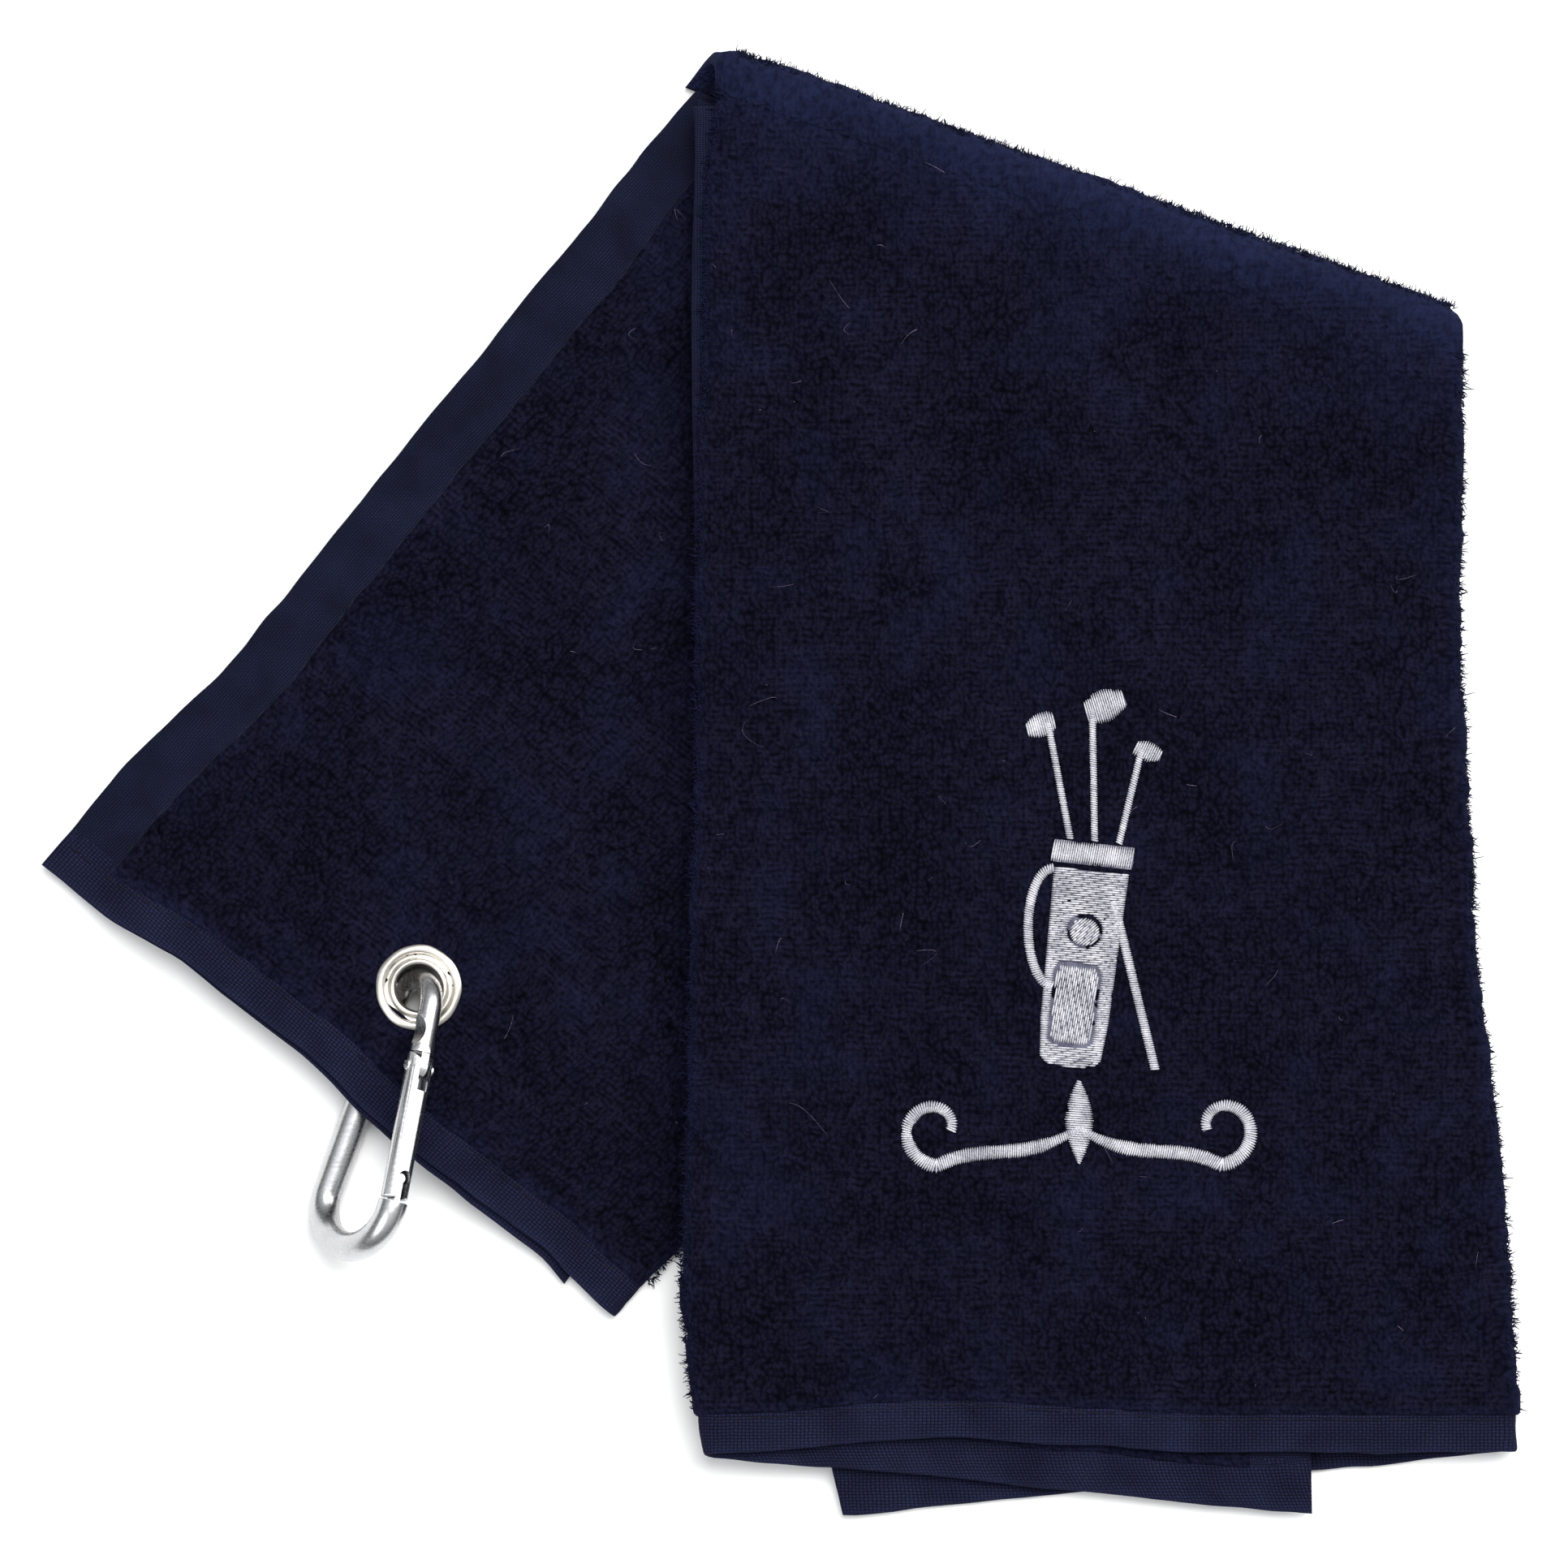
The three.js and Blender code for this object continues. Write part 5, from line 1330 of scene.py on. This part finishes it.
def clip_solid(name, solid, in_gate=True):
    """A working object in the clip's own frame, in millimetres."""
    points, faces = solid
    points = gate_to_clip(points) if in_gate else np.asarray(points, float)
    mesh = bpy.data.meshes.new(name)
    mesh.from_pydata(points.tolist(), [], outward(points, faces))
    obj = bpy.data.objects.new(name, mesh)
    bpy.context.scene.collection.objects.link(obj)
    return obj


def carve(target, solid, operation, in_gate=True):
    cutter = clip_solid("cutter", solid, in_gate)
    combine(target, cutter, operation)


def combine(target, other, operation):
    change = target.modifiers.new("carve", "BOOLEAN")
    change.operation, change.object, change.solver = operation, other, "EXACT"
    bake(target)
    bpy.data.objects.remove(other)


def bake(target):
    """Applies the modifiers of an object."""
    graph = bpy.context.evaluated_depsgraph_get()
    made = bpy.data.meshes.new_from_object(target.evaluated_get(graph))
    target.modifiers.clear()
    old = target.data
    target.data = made
    bpy.data.meshes.remove(old)


def finish_metal(target, name, body, width=0.10, angle=38):
    """Narrow rounded edges, then the piece in its place, smooth between its sharp edges."""
    bevel = target.modifiers.new("edges", "BEVEL")
    bevel.width, bevel.segments, bevel.limit_method = width, 2, "ANGLE"
    bevel.angle_limit = math.radians(angle)
    bevel.use_clamp_overlap = True
    bake(target)
    points = np.empty(3 * len(target.data.vertices))
    target.data.vertices.foreach_get("co", points)
    faces = [list(polygon.vertices) for polygon in target.data.polygons]
    bpy.data.objects.remove(target)
    piece = make_object(name, clip_to_world(points.reshape(-1, 3)), faces, "polished_steel", body)
    piece.data.set_sharp_from_angle(angle=math.radians(50))
    return piece


shoulder_back = GATE_RADIUS + CLEARANCE
nose_shoulder = loop_start + gate_dir * CLEARANCE
shoulder = gate_pin - gate_dir * shoulder_back
swing = np.linspace(math.pi / 2 + flare, 1.5 * math.pi - flare, 40)
neck_path = np.column_stack([NECK_BEND * np.cos(swing), NECK_BEND * np.sin(swing)])
swing = np.linspace(-touch, touch, 64)
oval = np.column_stack([loop_length + LOOP_END_DEPTH * np.cos(swing),
                        LOOP_HALF_WIDTH * np.sin(swing)])
oval[-1] = nose_shoulder
entry = np.array([lerp(shoulder, neck_path[0], t) for t in np.linspace(0, 1, 8)[:-1]])
spine = np.array([lerp(neck_path[-1], oval[0], t) for t in np.linspace(0, 1, 26)[1:-1]])
path = np.concatenate([entry, neck_path, spine, oval])
radii = lerp(NECK_WIRE_RADIUS, WIRE_RADIUS, smooth(path[:, 0], 4, loop_length * 0.6))
path = np.column_stack([path, np.zeros(len(path))])
frame_solid = clip_solid("frame", tube(path, radii), in_gate=False)
NOSE_LENGTH, NOSE_THICKNESS, NOSE_HEAD = 4.5, 1.3, 1.15
TONGUE_RADIUS, TONGUE_HALF_WIDTH, NOSE_HALF_WIDTH = 2.1, 1.7, 1.3
SCALLOP_RADIUS, SCALLOP_SETBACK, SCALLOP_WALL = 4.6, 4.4, 0.35
PIN_FIT = 0.12
THROUGH = 6      # half the length of a cutter that goes right through the wire
nose_at = gate_length - NOSE_LENGTH
half_tongue, half_nose = TONGUE_THICKNESS / 2, NOSE_THICKNESS / 2
for solid in (block(-shoulder_back - 1, 0, -TONGUE_HALF_WIDTH, TONGUE_HALF_WIDTH,
                    -half_tongue, half_tongue),
              rod("z", TONGUE_RADIUS, -half_tongue, half_tongue),
              block(nose_at, gate_length + 1, -NOSE_HALF_WIDTH, NOSE_HALF_WIDTH,
                    -half_nose, half_nose),
              rod("y", NOSE_HEAD, -NOSE_HALF_WIDTH, NOSE_HALF_WIDTH, at=(nose_at, 0, 0))):
    carve(frame_solid, solid, "UNION")
carve(frame_solid, rod("z", GATE_PIN_RADIUS + PIN_FIT, -4, 4), "DIFFERENCE")
scallop_x = -shoulder_back - SCALLOP_SETBACK
scallop_z = half_tongue + SCALLOP_RADIUS + SCALLOP_WALL
for side in (1, -1):
    carve(frame_solid, rod("y", SCALLOP_RADIUS, -THROUGH, THROUGH,
                           at=(scallop_x, 0, side * scallop_z), sides=64), "DIFFERENCE")
carabiner = finish_metal(frame_solid, "carabiner_wire", "carabiner")
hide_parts("carabiner_frame")

SLOT_END, BORE_RADIUS, BORE_LENGTH, GATE_WALL = 5.0, 1.35, 9, 0.7
gate_solid = clip_solid("gate", rod("x", GATE_RADIUS, 0, gate_length - CLEARANCE, sides=56))
ear = clip_solid("ear", rod("x", GATE_RADIUS, -2 * GATE_RADIUS, 0.5, sides=56))
carve(ear, rod("z", GATE_RADIUS, -THROUGH, THROUGH, sides=64), "INTERSECT")
combine(gate_solid, ear, "UNION")
inner_wall = -GATE_RADIUS + GATE_WALL
for solid in (block(-2 * GATE_RADIUS, SLOT_END, -THROUGH, THROUGH, -half_tongue - CLEARANCE,
                    half_tongue + CLEARANCE),
              block(nose_at, gate_length + 1, inner_wall, THROUGH, -half_nose - CLEARANCE,
                    half_nose + CLEARANCE),
              rod("y", NOSE_HEAD + CLEARANCE, inner_wall, THROUGH, at=(nose_at, 0, 0)),
              rod("x", BORE_RADIUS, SLOT_END - 0.5, SLOT_END + BORE_LENGTH),
              rod("z", GATE_PIN_RADIUS + PIN_FIT, -THROUGH, THROUGH)):
    carve(gate_solid, solid, "DIFFERENCE")
gate = finish_metal(gate_solid, "spring_gate", "gate")
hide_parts("carabiner_gate")

PIN_HEAD_RADIUS, PIN_HEAD_SUNK, PIN_HEAD_HEIGHT = 1.15, 0.15, 0.3
pin_reach = GATE_RADIUS + 0.1
pin_solid = clip_solid("pin", rod("z", GATE_PIN_RADIUS, -pin_reach, pin_reach))
for side in (-1, 1):
    ends = sorted((side * (pin_reach - PIN_HEAD_SUNK), side * (pin_reach + PIN_HEAD_HEIGHT)))
    carve(pin_solid, rod("z", PIN_HEAD_RADIUS, *ends, crown=0.12), "UNION")
pin = finish_metal(pin_solid, "gate_rivet", "carabiner", 0.05)
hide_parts("gate_pin")
for node in ("gate_plunger", "gate_spring"):
    mesh = frame["nodes"][node].data
    mesh.materials.clear()
    mesh.materials.append(MATERIALS["spring_steel"])

# ---- Floor, light and camera ---------------------------------------------------------------
FLOOR = 3.0      # half its width, in metres
floor_mesh = bpy.data.meshes.new("floor")
floor_mesh.from_pydata([(-FLOOR, -FLOOR, 0), (FLOOR, -FLOOR, 0), (FLOOR, FLOOR, 0),
                        (-FLOOR, FLOOR, 0)], [], [(0, 1, 2, 3)])
floor = bpy.data.objects.new("floor", floor_mesh)
tree, shader = new_material("floor_paper")
set_plain(shader, Base_Color=(0.75, 0.75, 0.75, 1), Roughness=0.9, Specular_IOR_Level=0.1)
floor_mesh.materials.append(MATERIALS["floor_paper"])
bpy.context.scene.collection.objects.link(floor)

world = bpy.data.worlds.new("studio")
bpy.context.scene.world = world
world.use_nodes = True
background = world.node_tree.nodes["Background"]
background.inputs["Strength"].default_value = 1.0
net = Net(world.node_tree)
direction = net.add("SeparateXYZ", {0: net.add("TexCoord").outputs["Generated"]})
sky = net.add("ValToRGB", {"Fac": direction.outputs[2]})
# Brightness from straight down (0) to straight up (1). The dark stop shapes the metal.
stops = ((0.0, 0.45), (0.22, 0.16), (0.5, 0.45), (0.78, 0.75), (1.0, 1.05))
for k, (at, level) in enumerate(stops):
    stop = sky.color_ramp.elements[k] if k < 2 else sky.color_ramp.elements.new(at)
    stop.position = at
    stop.color = (level * 0.97, level * 0.985, level, 1)
net.link(sky.outputs["Color"], background.inputs["Color"])


def softbox(name, at, size, watts, colour=(1, 1, 1)):
    light = bpy.data.lights.new(name, "AREA")
    light.shape, light.size, light.energy, light.color = "DISK", size, watts, colour
    obj = bpy.data.objects.new(name, light)
    obj.location = at
    aim = -np.asarray(at, float)
    obj.rotation_euler = (math.atan2(math.hypot(aim[0], aim[1]), -aim[2]), 0,
                          math.atan2(aim[0], -aim[1]) + math.pi if aim[0] or aim[1] else 0)
    bpy.context.scene.collection.objects.link(obj)


softbox("overhead", (0.3, 0.8, 2.2), 1.5, 62, (1.0, 0.995, 0.98))
softbox("key", (1.0, 0.5, 1.1), 1.1, 15, (1.0, 0.99, 0.97))
softbox("fill", (-0.9, -0.6, 1.3), 1.2, 9, (0.96, 0.98, 1.0))

camera_data = bpy.data.cameras.new("camera")
FRAME_WIDTH, LENS, SENSOR, VIEW_PLANE = 0.3194, 200.0, 36.0, 0.008
camera_data.lens, camera_data.sensor_width = LENS, SENSOR
camera_data.clip_start = 0.1
camera = bpy.data.objects.new("camera", camera_data)
camera.location = (0.0002, -0.0003, VIEW_PLANE + FRAME_WIDTH * LENS / SENSOR)
bpy.context.scene.collection.objects.link(camera)
bpy.context.scene.camera = camera
bpy.context.scene.view_settings.view_transform = "Standard"
